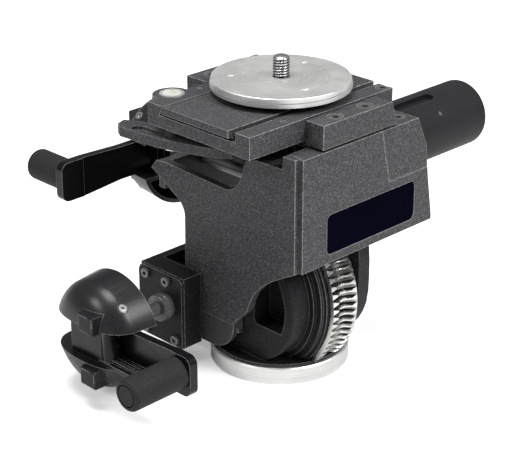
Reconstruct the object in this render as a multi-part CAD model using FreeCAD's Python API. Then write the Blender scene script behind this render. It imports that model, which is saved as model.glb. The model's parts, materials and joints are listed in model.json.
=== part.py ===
import FreeCAD, Part
import math
import os

os.makedirs("parts", exist_ok=True)

V = FreeCAD.Vector

# Geared tripod head. Millimetres. Origin at the centre of the base underside.
# +Z is up, +X runs along the label face, +Y runs away from the label face.

# Named clearances
RUNNING_FIT = 0.05
CAST_GAP = 0.5
SEAM_GAP = 0.4
SEAT_GAP = 0.02

# Base
BASE_RADIUS = 41.2
BASE_RING_HEIGHT = 10.2
BASE_RING_CHAMFER = 0.7
BASE_DISC_RADIUS = 35.0
BASE_DISC_HEIGHT = 9.4
INSERT_RADIUS = 9.0
TRIPOD_THREAD_RADIUS = 4.76
SPINDLE_RADIUS = 7.5
SPINDLE_TOP = 25.0
SPINDLE_NUT_RADIUS = 11.0
SPINDLE_NUT_BOTTOM = 20.0
SPINDLE_NUT_TOP = 24.4
SPINDLE_FLANGE_RADIUS = 24.0
SPINDLE_FLANGE_TOP = 10.4

# Turret (pans about the vertical axis)
TURRET_BOTTOM = 10.7
PEDESTAL_RADIUS = 27.0
PEDESTAL_TOP = 30.0
FOOT_RADIUS = 16.0
FOOT_HALF_WIDTH = 12.2
FLANGE_RADIUS = 39.4
FLANGE_TOP = 12.1
TILT_AXIS_Z = 48.0
DRUM_RADIUS = 40.4
DRUM_LEFT = -31.0
DRUM_RIGHT = -11.3
DRUM_EDGE_ROUND = 1.6
POCKET_DEPTH = 13.0
POCKET_RADIUS = 34.4
POCKET_EDGE_Y = -9.7
POCKET_FLOOR_Z = 34.0
WHEEL_LEFT = -11.3
WHEEL_RIGHT = 8.4
WHEEL_TEETH = 72
WHEEL_MODULE = 1.4
WHEEL_PITCH_RADIUS = WHEEL_MODULE * WHEEL_TEETH / 2.0
WHEEL_RIM_RADIUS = 53.6
WHEEL_BORE_RADIUS = 38.0
WHEEL_HUB_RADIUS = 37.8
SIDE_RING_LEFT = -15.0
SIDE_RING_RADIUS = 47.5
TILT_AXLE_RADIUS = 6.0
TILT_AXLE_LEFT = -37.6
TILT_AXLE_RIGHT = 17.0
AXLE_FLANGE_RADIUS = 9.5
BUSHING_RADIUS = 8.5

# Pan gearbox on the turret
PAN_CRANK_Y = 37.4
PAN_CRANK_Z = 37.6
PAN_BOX_LEFT = -56.5
PAN_BOX_RIGHT = -41.2
PAN_BOX_FRONT = 24.0
PAN_BOX_BACK = 61.0
PAN_BOX_BOTTOM = 13.0
PAN_BOX_TOP = 57.5
PAN_BACK_PLATE_FRONT = 55.5
PAN_BACK_PLATE_RIGHT = -6.0
PAN_COVER_THICKNESS = 2.2
PAN_COLLAR_RADIUS = 8.0
PAN_COLLAR_LENGTH = 7.0
PAN_SHAFT_END = -44.4
PAN_COVER_SCREWS = [(54.0, 53.0), (36.5, 53.0), (54.5, 17.5), (29.5, 17.5)]
COVER_SCREW_RADIUS = 1.5

# Tilting housing (tilts about the X axis)
WALL_LEFT = -40.0
WALL_RIGHT = -35.2
LABEL_FACE_Y = -53.0
LABEL_WALL_INNER_Y = -48.5
HOUSING_TOP = 147.6
HOUSING_BOTTOM = 81.0
DECK_BOTTOM = 143.2
HOUSING_BACK_Y = 60.0
BACK_WALL_THICKNESS = 5.0
BACK_WALL_LOW = 84.0
WALL_JOINT_Y = -50.0
REAR_TOP_X = 66.4
REAR_BOTTOM_X = 72.0
REAR_STEP_Z = 115.5
REAR_SEAM_TOP_X = 26.3
REAR_SEAM_LOW_X = 33.7
LABEL_LEFT = -17.5
LABEL_RIGHT = 56.0
LABEL_BOTTOM = 86.0
LABEL_TOP = 110.0
LABEL_DEPTH = 1.2
LABEL_ROUND = 3.5
CHEEK_LEFT = 9.4
CHEEK_RIGHT = 18.4
LABEL_WALL_LEFT = -37.0
DECK_LEFT = -14.0
END_WALL_THICKNESS = 4.4
REAR_BLOCK_BACK_Y = -34.0
REAR_CEILING_Z = 139.6
POST_LEFT = 45.4
POST_RIGHT = 54.6
POST_LOW = 108.0
PANEL_GAP = 0.15
CREASE_Z = 32.4
LOWER_STEP = 1.0
STOP_BLOCK_RIGHT = -31.6
STOP_BLOCK_Y0 = -1.0
STOP_BLOCK_Y1 = 7.0
STOP_BLOCK_Z0 = 25.0
POINTER_LOW = 28.0
POINTER_HIGH = 36.0
STOP_BLOCK_Z1 = 38.0
BUSHING_LENGTH = 5.0
LEFT_BUSHING_START = -37.9
RIGHT_BUSHING_START = 12.0

# Side tilt worm and crank (shaft along Y)
WORM_PITCH_RADIUS = 9.6
WORM_TIP_RADIUS = 10.9
WORM_ROOT_RADIUS = 7.2
GASH_RADIUS = 11.8
GASH_TIP_HALF = 0.70
GASH_DEPTH = 8.0
GASH_SIDE_ANGLE = 20.0
WORM_AXIS_X = -1.45
WORM_AXIS_Z = TILT_AXIS_Z + WHEEL_PITCH_RADIUS + WORM_PITCH_RADIUS
WORM_LENGTH = 26.0
TOOTH_PITCH = math.pi * WHEEL_MODULE
LEAD_ANGLE = math.degrees(math.atan(TOOTH_PITCH / (2 * math.pi * WORM_PITCH_RADIUS)))
LEAD_SIGN = -1
WORM_PHASE = -0.25
WORM_ROOT_HALF = 1.6
WORM_TIP_HALF = 0.45
WORM_BEARING_RADIUS = 6.6
WORM_SHAFT_END_Y = -21.0
BOSS_RADIUS = 14.0
BOSS_END_Y = 77.0

# Front tilt hinge (along Y)
HINGE_X = -28.0
HINGE_Z = 139.0
HINGE_RADIUS = 4.0
HINGE_FRONT_Y = -15.0
HINGE_BACK_Y = 46.0
HINGE_EAR_RADIUS = 6.4
HINGE_LUG_RADIUS = 7.0
HINGE_EARS = [(-15.0, -7.0), (9.0, 29.0), (40.3, 46.0)]
HINGE_LUGS = [(-6.0, 8.0), (30.0, 39.5)]

# Platform and camera plate
RECEIVER_LEFT = -64.0
RECEIVER_RIGHT = 49.0
RECEIVER_HALF_WIDTH = 40.0
RECEIVER_BOTTOM = 151.5
RECEIVER_TOP = 164.3
CHANNEL_FLOOR = 158.6
CHANNEL_LEFT_TOP = 27.4
CHANNEL_LEFT_BOTTOM = 30.4
CHANNEL_RIGHT = -29.4
PLATE_BOTTOM = 158.65
PLATE_TOP = 164.8
PLATE_LEFT_SIDE_TOP = 25.4
PLATE_LEFT_SIDE_BOTTOM = 28.4
PLATE_RIGHT_SIDE = -25.4
PLATE_LEFT = -65.5
PLATE_RIGHT = 49.5
LEVEL_X = -46.0
LEVEL_Y = 40.0
LEVEL_RADIUS = 7.0
LEVEL_EAR_RADIUS = 11.0
LEVEL_DEPTH = 5.0
RECEIVER_SCREWS = [(45.4, -16.2 - 19.0)]
RECEIVER_PINS = [(-33.8, -34.4), (-28.8, 36.0)]
RECEIVER_PIN_RADIUS = 1.5
CLAMP_FRONT_Y = -53.0
CLAMP_LEFT = -21.5
CLAMP_RIGHT = 34.0
CLAMP_BOTTOM = 149.0
CLAMP_TOP = 163.0
CLAMP_SCREWS = [(-5.8, -46.6), (18.2, -46.6)]
SIDE_BLOCK_SCREWS = [(-8.0, 48.0), (20.0, 48.0)]
LEVER_PIVOT_X = -55.8
LEVER_PIVOT_Y = 28.7
LEVER_BOSS_RADIUS = 5.2
LEVER_SCREW_RADIUS = 3.0
LEVER_BOTTOM = 140.0
LEVER_TOP = 146.0
SCREW_HEAD_RADIUS = 8.0
DISC_GROOVES = [(26.3, 0.7), (12.9, 0.7)]
DISC_ARROWS = [135.0, 255.0, 15.0]
DISC_RADIUS = 40.0
DISC_THICKNESS = 5.2
PAD_RADIUS = 33.0
PAD_HEIGHT = 3.4
DISC_TOP = PLATE_TOP + PAD_HEIGHT + DISC_THICKNESS
CAMERA_SCREW_RADIUS = 4.76
CAMERA_SCREW_HEIGHT = 12.0
CAMERA_SHANK_RADIUS = 4.3
CAMERA_THREAD_PITCH = 25.4 / 16.0

# Cranks
CRANK_SHAFT_RADIUS = 4.0
SHELL_GAP_HALF = 11.0
SHELL_WALL = 2.4
SHELL_BACK_X = 12.2
SHELL_BACK_RADIUS = 33.6
SHELL_NOSE_X = -18.6
SHELL_RIDGE_X = -3.3
SHELL_RIDGE_RADIUS = 32.0
SHELL_SCREW_ANGLE = 46.8
HUB_Y0 = -13.4
HUB_Y1 = 12.6
HUB_HALF_HEIGHT = 11.0
BUTTON_FACE_X = -20.5
BUTTON_STEM_END = -9.0
BUTTON_Y0 = -16.0
BUTTON_Y1 = -3.0
BUTTON_UPPER_LOW = 9.4
BUTTON_UPPER_HIGH = 20.6
BUTTON_LOWER_LOW = 13.0
BUTTON_LOWER_HIGH = 24.0
BUTTON_GAP = 0.3
BUTTON_ROOM = 3.2
PLUG_RADIUS = 6.6
GRIP_GAP = 0.5
GRIP_ROUND = 2.4
PAN_ARM_X = -104.0
PAN_ARM_LENGTH = 64.9
PAN_GRIP_END = -39.0
SIDE_ARM_Y = 92.0
SIDE_ARM_LENGTH = 76.55
SIDE_GRIP_END = -32.0
ARM_HALF_HEIGHT = 10.2
ARM_HALF_THICKNESS = 2.5
LUG_BELOW = 2.2
LUG_ABOVE = 1.2
LUG_REACH = 10.0
LUG_ROUND = 5.0
GRIP_RADIUS = 9.3
GRIP_PIN_RADIUS = 3.0

# Spring tube
TUBE_Y = -14.0
TUBE_Z = 119.1
TUBE_RADIUS = 20.4
TUBE_BORE_RADIUS = 17.6
TUBE_START = 58.0
TUBE_END = 146.7
TUBE_END_ROUND = 3.6
TUBE_SLOT_START = 72.0
TUBE_SLOT_END = 111.0
TUBE_SLOT_HALF = 3.6
TUBE_SLOT_ANGLE = 12.0
TUBE_SCREW_X = 105.7
TUBE_SCREW_ANGLE = 51.0
TUBE_SCREW_RADIUS = 1.3


def block(x0, x1, y0, y1, z0, z1):
    """Axis-aligned block between two corners."""
    return Part.makeBox(x1 - x0, y1 - y0, z1 - z0, V(x0, y0, z0))


def rod_x(y, z, radius, x0, x1):
    """Round bar along X."""
    return Part.makeCylinder(radius, x1 - x0, V(x0, y, z), V(1, 0, 0))


def rod_y(x, z, radius, y0, y1):
    """Round bar along Y."""
    return Part.makeCylinder(radius, y1 - y0, V(x, y0, z), V(0, 1, 0))


def rod_z(x, y, radius, z0, z1):
    """Round bar along Z."""
    return Part.makeCylinder(radius, z1 - z0, V(x, y, z0), V(0, 0, 1))


def outline_face(points):
    """Flat face inside a closed chain of straight edges."""
    return Part.Face(Part.makePolygon(points + [points[0]]))


def slab_x(points, x0, x1):
    """Plate from an outline in Y and Z, thick along X."""
    return outline_face([V(x0, y, z) for y, z in points]).extrude(V(x1 - x0, 0, 0))


def slab_y(points, y0, y1):
    """Plate from an outline in X and Z, thick along Y."""
    return outline_face([V(x, y0, z) for x, z in points]).extrude(V(0, y1 - y0, 0))


def slab_z(points, z0, z1):
    """Plate from an outline in X and Y, thick along Z."""
    return outline_face([V(x, y, z0) for x, y in points]).extrude(V(0, 0, z1 - z0))


def joined(shapes):
    """One solid from touching shapes."""
    body = shapes[0]
    if len(shapes) > 1:
        body = body.fuse(shapes[1:])
    return body.removeSplitter()


def carved(body, tools):
    """The body with all the tools cut out."""
    return body.cut(tools).removeSplitter()


def edges_where(shape, test):
    """Edges whose two end points and centre all pass a test."""
    found = []
    for edge in shape.Edges:
        points = [v.Point for v in edge.Vertexes]
        points.append(edge.CenterOfMass)
        if all(test(p) for p in points):
            found.append(edge)
    return found


def rounded(shape, radius, test):
    """The shape with the chosen edges rounded, or unchanged if none fit."""
    edges = edges_where(shape, test)
    if not edges:
        return shape
    try:
        result = shape.makeFillet(radius, edges)
    except Exception:
        return shape
    return result if result.isValid() else shape


def arc_points(cx, cy, radius, start, end, count):
    """Points along an arc, angles in degrees."""
    points = []
    for i in range(count + 1):
        a = math.radians(start + (end - start) * i / count)
        points.append((cx + radius * math.cos(a), cy + radius * math.sin(a)))
    return points


def socket_screw(centre, axis, head_radius, head_height, shank_radius, shank_length):
    """Cap screw with a hexagon socket; the centre is the top of the head."""
    head = Part.makeCylinder(head_radius, head_height, centre, axis * -1)
    shank = Part.makeCylinder(shank_radius, shank_length, centre - axis * head_height, axis * -1)
    side = head_radius * 0.55
    helper = V(0, 0, 1) if abs(axis.z) < 0.9 else V(1, 0, 0)
    u = axis.cross(helper)
    u.normalize()
    w = axis.cross(u)
    corners = []
    for i in range(6):
        a = math.radians(60 * i)
        corners.append(centre + u * (side * math.cos(a)) + w * (side * math.sin(a)))
    socket = outline_face(corners).extrude(axis * (-head_height * 0.6))
    return head.fuse(shank).cut(socket).removeSplitter()


def counterbore(centre, axis, head_radius, head_height, shank_radius, shank_length):
    """Space for one socket screw, a touch larger than the screw."""
    gap = RUNNING_FIT * 2
    head = Part.makeCylinder(head_radius + gap * 2, head_height + 6, centre + axis * 6, axis * -1)
    shank = Part.makeCylinder(
        shank_radius + gap * 0.5, shank_length + 0.4, centre - axis * (head_height - 0.1), axis * -1
    )
    return head.fuse(shank)


def save(name, shape):
    """Write one node."""
    shape.exportStep("parts/" + name + ".step")
    print(name, round(shape.Volume, 1), shape.isValid(), len(shape.Solids))


def make_base_ring():
    """Bright outer ring with a thin chamfer on its top edge."""
    ring = rod_z(0, 0, BASE_RADIUS, 0, BASE_RING_HEIGHT)
    ring = ring.cut(rod_z(0, 0, BASE_DISC_RADIUS + RUNNING_FIT, -1, BASE_RING_HEIGHT + 1))
    top = [e for e in ring.Edges if abs(e.CenterOfMass.z - BASE_RING_HEIGHT) < 0.01]
    outer = [e for e in top if e.Length > 2 * math.pi * (BASE_RADIUS - 1)]
    return ring.makeChamfer(BASE_RING_CHAMFER, outer)


def make_base_disc():
    """Dark disc that carries the tripod thread and the pan spindle."""
    disc = rod_z(0, 0, BASE_DISC_RADIUS, 0.6, BASE_DISC_HEIGHT)
    tools = [rod_z(0, 0, INSERT_RADIUS + RUNNING_FIT, 0, BASE_DISC_HEIGHT + 1)]
    for i in range(3):
        a = math.radians(120 * i + 30)
        tools.append(rod_z(26 * math.cos(a), 26 * math.sin(a), 3.0, 0, 5.5))
    return carved(disc, tools)


def make_thread_insert():
    """Steel bush with the tripod thread bore, open at the underside."""
    bush = rod_z(0, 0, INSERT_RADIUS, 0.4, BASE_DISC_HEIGHT - 0.05)
    mouth = Part.makeCone(TRIPOD_THREAD_RADIUS + 0.8, TRIPOD_THREAD_RADIUS, 0.8, V(0, 0, 0.4))
    bore = rod_z(0, 0, TRIPOD_THREAD_RADIUS, 0, BASE_DISC_HEIGHT + 1)
    return carved(bush, [mouth, bore])


def make_pan_spindle():
    """Flanged steel spindle the turret turns on."""
    flange = rod_z(0, 0, SPINDLE_FLANGE_RADIUS, BASE_DISC_HEIGHT, SPINDLE_FLANGE_TOP)
    post = rod_z(0, 0, SPINDLE_RADIUS, BASE_DISC_HEIGHT, SPINDLE_TOP)
    return joined([flange, post])


def make_spindle_nut():
    """Round nut that holds the turret down."""
    nut = rod_z(0, 0, SPINDLE_NUT_RADIUS, SPINDLE_NUT_BOTTOM + RUNNING_FIT, SPINDLE_NUT_TOP)
    tools = [rod_z(0, 0, SPINDLE_RADIUS + 0.01, SPINDLE_NUT_BOTTOM - 1, SPINDLE_TOP + 1)]
    for i in range(4):
        a = math.radians(90 * i + 45)
        tools.append(rod_z(9.4 * math.cos(a), 9.4 * math.sin(a), 1.2, SPINDLE_NUT_BOTTOM, SPINDLE_TOP + 1))
    return carved(nut, tools)


def turret_clip(shape):
    """Keep only what lies above the turret underside."""
    return shape.common(block(-120, 120, -120, 120, TURRET_BOTTOM, 220))


def make_turret_body():
    """Casting with the round drum, the flange and the arm for the pan gearbox."""
    flange = rod_z(0, 0, FLANGE_RADIUS, TURRET_BOTTOM, FLANGE_TOP)
    pedestal = rod_z(0, 0, PEDESTAL_RADIUS, TURRET_BOTTOM, PEDESTAL_TOP)
    pedestal = pedestal.common(block(-40, SIDE_RING_LEFT, -40, 40, 0, 60))
    foot = rod_z(0, 0, FOOT_RADIUS, TURRET_BOTTOM, SPINDLE_NUT_BOTTOM)
    foot = foot.common(block(-60, 60, -FOOT_HALF_WIDTH, FOOT_HALF_WIDTH, 0, 60))
    drum = rod_x(0, TILT_AXIS_Z, DRUM_RADIUS, DRUM_LEFT, DRUM_RIGHT)
    face_edges = [e for e in drum.Edges if abs(e.CenterOfMass.x - DRUM_LEFT) < 0.01]
    drum = drum.makeFillet(DRUM_EDGE_ROUND, face_edges)
    hub = rod_x(0, TILT_AXIS_Z, WHEEL_HUB_RADIUS, DRUM_RIGHT, WHEEL_RIGHT - 0.6)
    step = rod_x(0, TILT_AXIS_Z, SIDE_RING_RADIUS - 3.6, SIDE_RING_LEFT - 2.6, SIDE_RING_LEFT)
    arm = block(-30, SIDE_RING_LEFT - CAST_GAP, 20, PAN_BACK_PLATE_FRONT, FLANGE_TOP - 0.5, 44)
    body = joined([turret_clip(drum), turret_clip(hub), turret_clip(step), pedestal, foot, flange, arm])
    pocket = rod_x(0, TILT_AXIS_Z, POCKET_RADIUS, DRUM_LEFT - 1, DRUM_LEFT + POCKET_DEPTH)
    pocket = pocket.common(
        block(DRUM_LEFT - 2, DRUM_LEFT + POCKET_DEPTH + 1, -60, POCKET_EDGE_Y, POCKET_FLOOR_Z, 82)
    )
    pocket = rounded(
        pocket, 3.5, lambda p: abs(p.y - POCKET_EDGE_Y) < 0.01 and abs(p.z - POCKET_FLOOR_Z) < 0.01
    )
    tools = [
        pocket,
        rod_z(0, 0, SPINDLE_RADIUS + RUNNING_FIT, 0, SPINDLE_NUT_BOTTOM + 1),
        rod_z(0, 0, SPINDLE_FLANGE_RADIUS + 0.4, 0, SPINDLE_FLANGE_TOP + 0.6),
        rod_z(0, 0, SPINDLE_NUT_RADIUS + 0.5, SPINDLE_NUT_BOTTOM, SPINDLE_TOP + 0.6),
        rod_x(0, TILT_AXIS_Z, TILT_AXLE_RADIUS, -60, 60),
        rod_x(0, TILT_AXIS_Z, AXLE_FLANGE_RADIUS + 0.4, DRUM_LEFT - 2, DRUM_LEFT + 0.9),
    ]
    return carved(body, tools)


def make_side_rings():
    """Dark stepped ring between the drum and the toothed wheel."""
    ring = rod_x(0, TILT_AXIS_Z, SIDE_RING_RADIUS + 2.6, -13.2, WHEEL_LEFT - 0.05)
    lower = rod_x(0, TILT_AXIS_Z, SIDE_RING_RADIUS, SIDE_RING_LEFT + 0.05, -13.2)
    ring = turret_clip(joined([ring, lower])).common(block(-60, 60, -80, 80, FLANGE_TOP + 0.1, 200))
    return carved(ring, [rod_x(0, TILT_AXIS_Z, DRUM_RADIUS + RUNNING_FIT, -60, 60)])


def gash_cutter():
    """Round cutter with sloping sides that leaves one tooth space."""
    tip = GASH_TIP_HALF
    root = tip + math.tan(math.radians(GASH_SIDE_ANGLE)) * GASH_DEPTH
    inner = GASH_RADIUS - GASH_DEPTH
    face = outline_face([
        V(-tip, 0, GASH_RADIUS), V(tip, 0, GASH_RADIUS), V(root, 0, inner), V(-root, 0, inner),
    ])
    disc = face.revolve(V(0, 0, 0), V(1, 0, 0), 360)
    disc.rotate(V(0, 0, 0), V(0, 0, 1), 90 + LEAD_SIGN * LEAD_ANGLE)
    disc.translate(V(WORM_AXIS_X, 0, WHEEL_PITCH_RADIUS + WORM_PITCH_RADIUS))
    return disc


def make_tilt_wheel():
    """Bright worm wheel with a hollow throat and 72 tooth spaces."""
    wheel = rod_x(0, 0, WHEEL_RIM_RADIUS, WHEEL_LEFT, WHEEL_RIGHT)
    throat_radius = WORM_PITCH_RADIUS - 1.2
    ring_circle = Part.makeTorus(
        WHEEL_PITCH_RADIUS + WORM_PITCH_RADIUS, throat_radius, V(WORM_AXIS_X, 0, 0), V(1, 0, 0)
    )
    wheel = wheel.cut(ring_circle)
    wheel = wheel.cut(rod_x(0, 0, WHEEL_BORE_RADIUS, -60, 60))
    cutter = gash_cutter()
    cutters = []
    for i in range(WHEEL_TEETH):
        angle = 360.0 * (i + 0.5) / WHEEL_TEETH
        copy = cutter.copy()
        copy.rotate(V(0, 0, 0), V(1, 0, 0), angle)
        cutters.append(copy)
    wheel = wheel.cut(cutters)
    wheel.translate(V(0, 0, TILT_AXIS_Z))
    wheel = wheel.common(block(-60, 60, -80, 80, FLANGE_TOP + 0.1, 200))
    solids = sorted(wheel.Solids, key=lambda s: s.Volume)
    return solids[-1]


def make_tilt_axle():
    """Steel axle with a thrust collar, fixed in the drum."""
    axle = rod_x(0, TILT_AXIS_Z, TILT_AXLE_RADIUS, TILT_AXLE_LEFT, TILT_AXLE_RIGHT)
    collar = rod_x(0, TILT_AXIS_Z, AXLE_FLANGE_RADIUS, DRUM_LEFT - 1.6, DRUM_LEFT + 0.9)
    return joined([axle, collar])


def make_tilt_bushings():
    """Two bronze bushes, one in each side plate of the housing."""
    bushes = []
    for x0 in (LEFT_BUSHING_START, RIGHT_BUSHING_START):
        bush = rod_x(0, TILT_AXIS_Z, BUSHING_RADIUS, x0, x0 + BUSHING_LENGTH)
        bushes.append(bush.cut(rod_x(0, TILT_AXIS_Z, TILT_AXLE_RADIUS + RUNNING_FIT, -60, 60)))
    return Part.makeCompound(bushes)


def make_worm():
    """Worm with one thread, bored for its shaft."""
    core = rod_y(WORM_AXIS_X, WORM_AXIS_Z, WORM_ROOT_RADIUS, -WORM_LENGTH / 2.0, WORM_LENGTH / 2.0)
    turns = 5
    length = turns * TOOTH_PITCH
    helix = Part.makeHelix(TOOTH_PITCH, length, WORM_PITCH_RADIUS)
    inner = WORM_ROOT_RADIUS - 0.6
    profile = Part.makePolygon([
        V(inner, 0, -WORM_ROOT_HALF), V(WORM_TIP_RADIUS, 0, -WORM_TIP_HALF),
        V(WORM_TIP_RADIUS, 0, WORM_TIP_HALF), V(inner, 0, WORM_ROOT_HALF), V(inner, 0, -WORM_ROOT_HALF),
    ])
    thread = Part.Wire(helix).makePipeShell([profile], True, True)
    thread.translate(V(0, 0, -length / 2.0 + WORM_PHASE * TOOTH_PITCH))
    thread.rotate(V(0, 0, 0), V(1, 0, 0), -90)
    thread.translate(V(WORM_AXIS_X, 0, WORM_AXIS_Z))
    reach = TOOTH_PITCH * 2.05
    window = rod_y(WORM_AXIS_X, WORM_AXIS_Z, WORM_TIP_RADIUS + 2, -reach, reach)
    worm = core.fuse(thread.common(window))
    return worm


def make_pan_gearbox():
    """Upright gearbox box beside the side plate, with its rear arm."""
    inner_left = PAN_BOX_LEFT + PAN_COVER_THICKNESS
    box = block(inner_left, PAN_BOX_RIGHT, PAN_BOX_FRONT, PAN_BOX_BACK, PAN_BOX_BOTTOM, PAN_BOX_TOP)
    plate = block(
        PAN_BOX_RIGHT - 1, PAN_BACK_PLATE_RIGHT, PAN_BACK_PLATE_FRONT, PAN_BOX_BACK,
        FLANGE_TOP + 1, PAN_BOX_TOP,
    )
    body = joined([box, plate])
    tools = [rod_x(PAN_CRANK_Y, PAN_CRANK_Z, CRANK_SHAFT_RADIUS + RUNNING_FIT, -70, PAN_SHAFT_END + 0.2)]
    for y, z in PAN_COVER_SCREWS:
        tools.append(rod_x(y, z, COVER_SCREW_RADIUS, -60, PAN_BOX_LEFT + 8.2))
    return carved(body, tools)


def pan_cover_outline():
    """Outline of the gearbox cover in Y and Z, with cut corners."""
    y0, y1 = PAN_BOX_FRONT, PAN_BOX_BACK
    z0, z1 = PAN_BOX_BOTTOM, PAN_BOX_TOP
    return [
        (y0, z0), (y1 - 2, z0), (y1, z0 + 2), (y1, z1 - 4), (y1 - 1.2, z1 - 1.2),
        (y1 - 4, z1), (y0 + 2, z1), (y0, z1 - 2),
    ]


def make_pan_cover():
    """Flat cover on the outer side of the pan gearbox."""
    cover = slab_x(pan_cover_outline(), PAN_BOX_LEFT, PAN_BOX_LEFT + PAN_COVER_THICKNESS)
    tools = [rod_x(PAN_CRANK_Y, PAN_CRANK_Z, PAN_COLLAR_RADIUS - 1.5, -70, -40)]
    for y, z in PAN_COVER_SCREWS:
        tools.append(rod_x(y, z, COVER_SCREW_RADIUS, -70, -40))
    return carved(cover, tools)


def make_pan_cover_screws():
    """Four round-head screws in the gearbox cover."""
    screws = []
    for y, z in PAN_COVER_SCREWS:
        top = V(PAN_BOX_LEFT - 1.9, y, z)
        screws.append(socket_screw(top, V(-1, 0, 0), 2.8, 1.9, COVER_SCREW_RADIUS, 7.6))
    return Part.makeCompound(screws)


def make_pan_collar():
    """Bearing collar the pan crank shaft turns in."""
    left = PAN_BOX_LEFT - PAN_COLLAR_LENGTH
    collar = rod_x(PAN_CRANK_Y, PAN_CRANK_Z, PAN_COLLAR_RADIUS, left, PAN_BOX_LEFT)
    neck_end = PAN_BOX_LEFT + PAN_COVER_THICKNESS
    neck = rod_x(PAN_CRANK_Y, PAN_CRANK_Z, PAN_COLLAR_RADIUS - 1.5 - SEAT_GAP, left + 1, neck_end)
    groove = rod_x(PAN_CRANK_Y, PAN_CRANK_Z, 20, PAN_BOX_LEFT - 4.6, PAN_BOX_LEFT - 3.4)
    groove = groove.cut(rod_x(PAN_CRANK_Y, PAN_CRANK_Z, PAN_COLLAR_RADIUS - 0.8, -80, -40))
    bore = rod_x(PAN_CRANK_Y, PAN_CRANK_Z, CRANK_SHAFT_RADIUS + RUNNING_FIT, -80, -40)
    return carved(joined([collar, neck]), [groove, bore])


def left_plate_outline():
    """Outline of the left side plate in Y and Z."""
    points = [(WALL_JOINT_Y, HOUSING_TOP), (-41.0, HOUSING_TOP), (-40.6, 140.2)]
    points += [(-21.0, 139.8), (-12.2, 136.7)]
    points += arc_points(6.0, 131.0, 15.6, 178, 262, 8)[1:]
    points += [(30.0, 116.6), (55.4, 117.8), (62.0, 116.6), (66.2, 111.2), (54.0, 104.3), (44.0, 98.4)]
    points += arc_points(50.0, 88.0, 12.0, 130, 182, 5)
    points += [(38.4, 59.0), (40.0, 33.0), (40.0, 15.0), (38.6, 13.2), (20.0, 13.0)]
    points += arc_points(17.0, 31.0, 18.0, 262, 184, 7)
    points += [(-1.0, 33.0), (-12.6, 44.6), (-14.6, 50.0), (-18.6, 58.2), (-25.3, 65.4)]
    points += [(-33.0, 71.0), (-41.6, 76.0), (WALL_JOINT_Y, 80.6)]
    return points


def pointer_block(y0):
    """Block of the tilt pointer from a front face to its seat in the stop block."""
    return block(WALL_RIGHT - 1.4, STOP_BLOCK_RIGHT - 0.6, y0, STOP_BLOCK_Y0 + 2, POINTER_LOW, POINTER_HIGH)


def make_left_plate():
    """Side plate of the housing with the bearing lobe and the swept wing."""
    plate = slab_x(left_plate_outline(), WALL_LEFT, WALL_RIGHT)
    stop = block(
        WALL_RIGHT, STOP_BLOCK_RIGHT, STOP_BLOCK_Y0, STOP_BLOCK_Y1, STOP_BLOCK_Z0, STOP_BLOCK_Z1
    )
    plate = joined([plate, stop])
    lower_outline = [(45, 10), (45, CREASE_Z), (-1.3, CREASE_Z), (-6, 10)]
    lower = slab_x(lower_outline, WALL_LEFT - 1, WALL_LEFT + LOWER_STEP)
    pocket = pointer_block(STOP_BLOCK_Y0 - 1)
    tools = [
        lower,
        pocket,
        rod_x(0, TILT_AXIS_Z, BUSHING_RADIUS, LEFT_BUSHING_START, -30),
        rod_x(30.0, 21.0, 1.6, -42, -37.4),
    ]
    return carved(plate, tools)


def make_tilt_pointer():
    """Bright pointer set in the front of the stop block."""
    return pointer_block(STOP_BLOCK_Y0 - 0.4)


def label_outline():
    """Outline of the label side wall in X and Z."""
    return [
        (LABEL_WALL_LEFT, HOUSING_TOP), (REAR_TOP_X, HOUSING_TOP), (REAR_TOP_X + 0.3, 118.0),
        (REAR_TOP_X + 1.2, 110.0), (REAR_BOTTOM_X, 84.0), (REAR_BOTTOM_X, HOUSING_BOTTOM),
        (LABEL_WALL_LEFT, HOUSING_BOTTOM),
    ]


def rear_notch_outline():
    """Outline of the corner notch for the rear block in X and Z."""
    return [
        (REAR_SEAM_TOP_X - SEAM_GAP, HOUSING_TOP + 5), (REAR_SEAM_TOP_X - SEAM_GAP, HOUSING_TOP),
        (REAR_SEAM_LOW_X - SEAM_GAP, REAR_STEP_Z - SEAM_GAP),
        (REAR_BOTTOM_X + 5, REAR_STEP_Z - SEAM_GAP), (REAR_BOTTOM_X + 5, HOUSING_TOP + 5),
    ]


def end_wall_outline():
    """Outline of the slanted end wall in X and Z."""
    inner = END_WALL_THICKNESS
    return [
        (REAR_TOP_X - 10, HOUSING_TOP), (REAR_TOP_X - 1.4, 130.0), (REAR_TOP_X + 0.3, 118.0),
        (REAR_TOP_X + 1.2, 110.0),
        (REAR_BOTTOM_X, 84.0), (REAR_BOTTOM_X, HOUSING_BOTTOM), (REAR_BOTTOM_X - inner, HOUSING_BOTTOM),
        (REAR_TOP_X - inner, 116.0), (REAR_TOP_X - inner - 1, 130.0), (REAR_TOP_X - 10 - inner, HOUSING_TOP),
    ]


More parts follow.
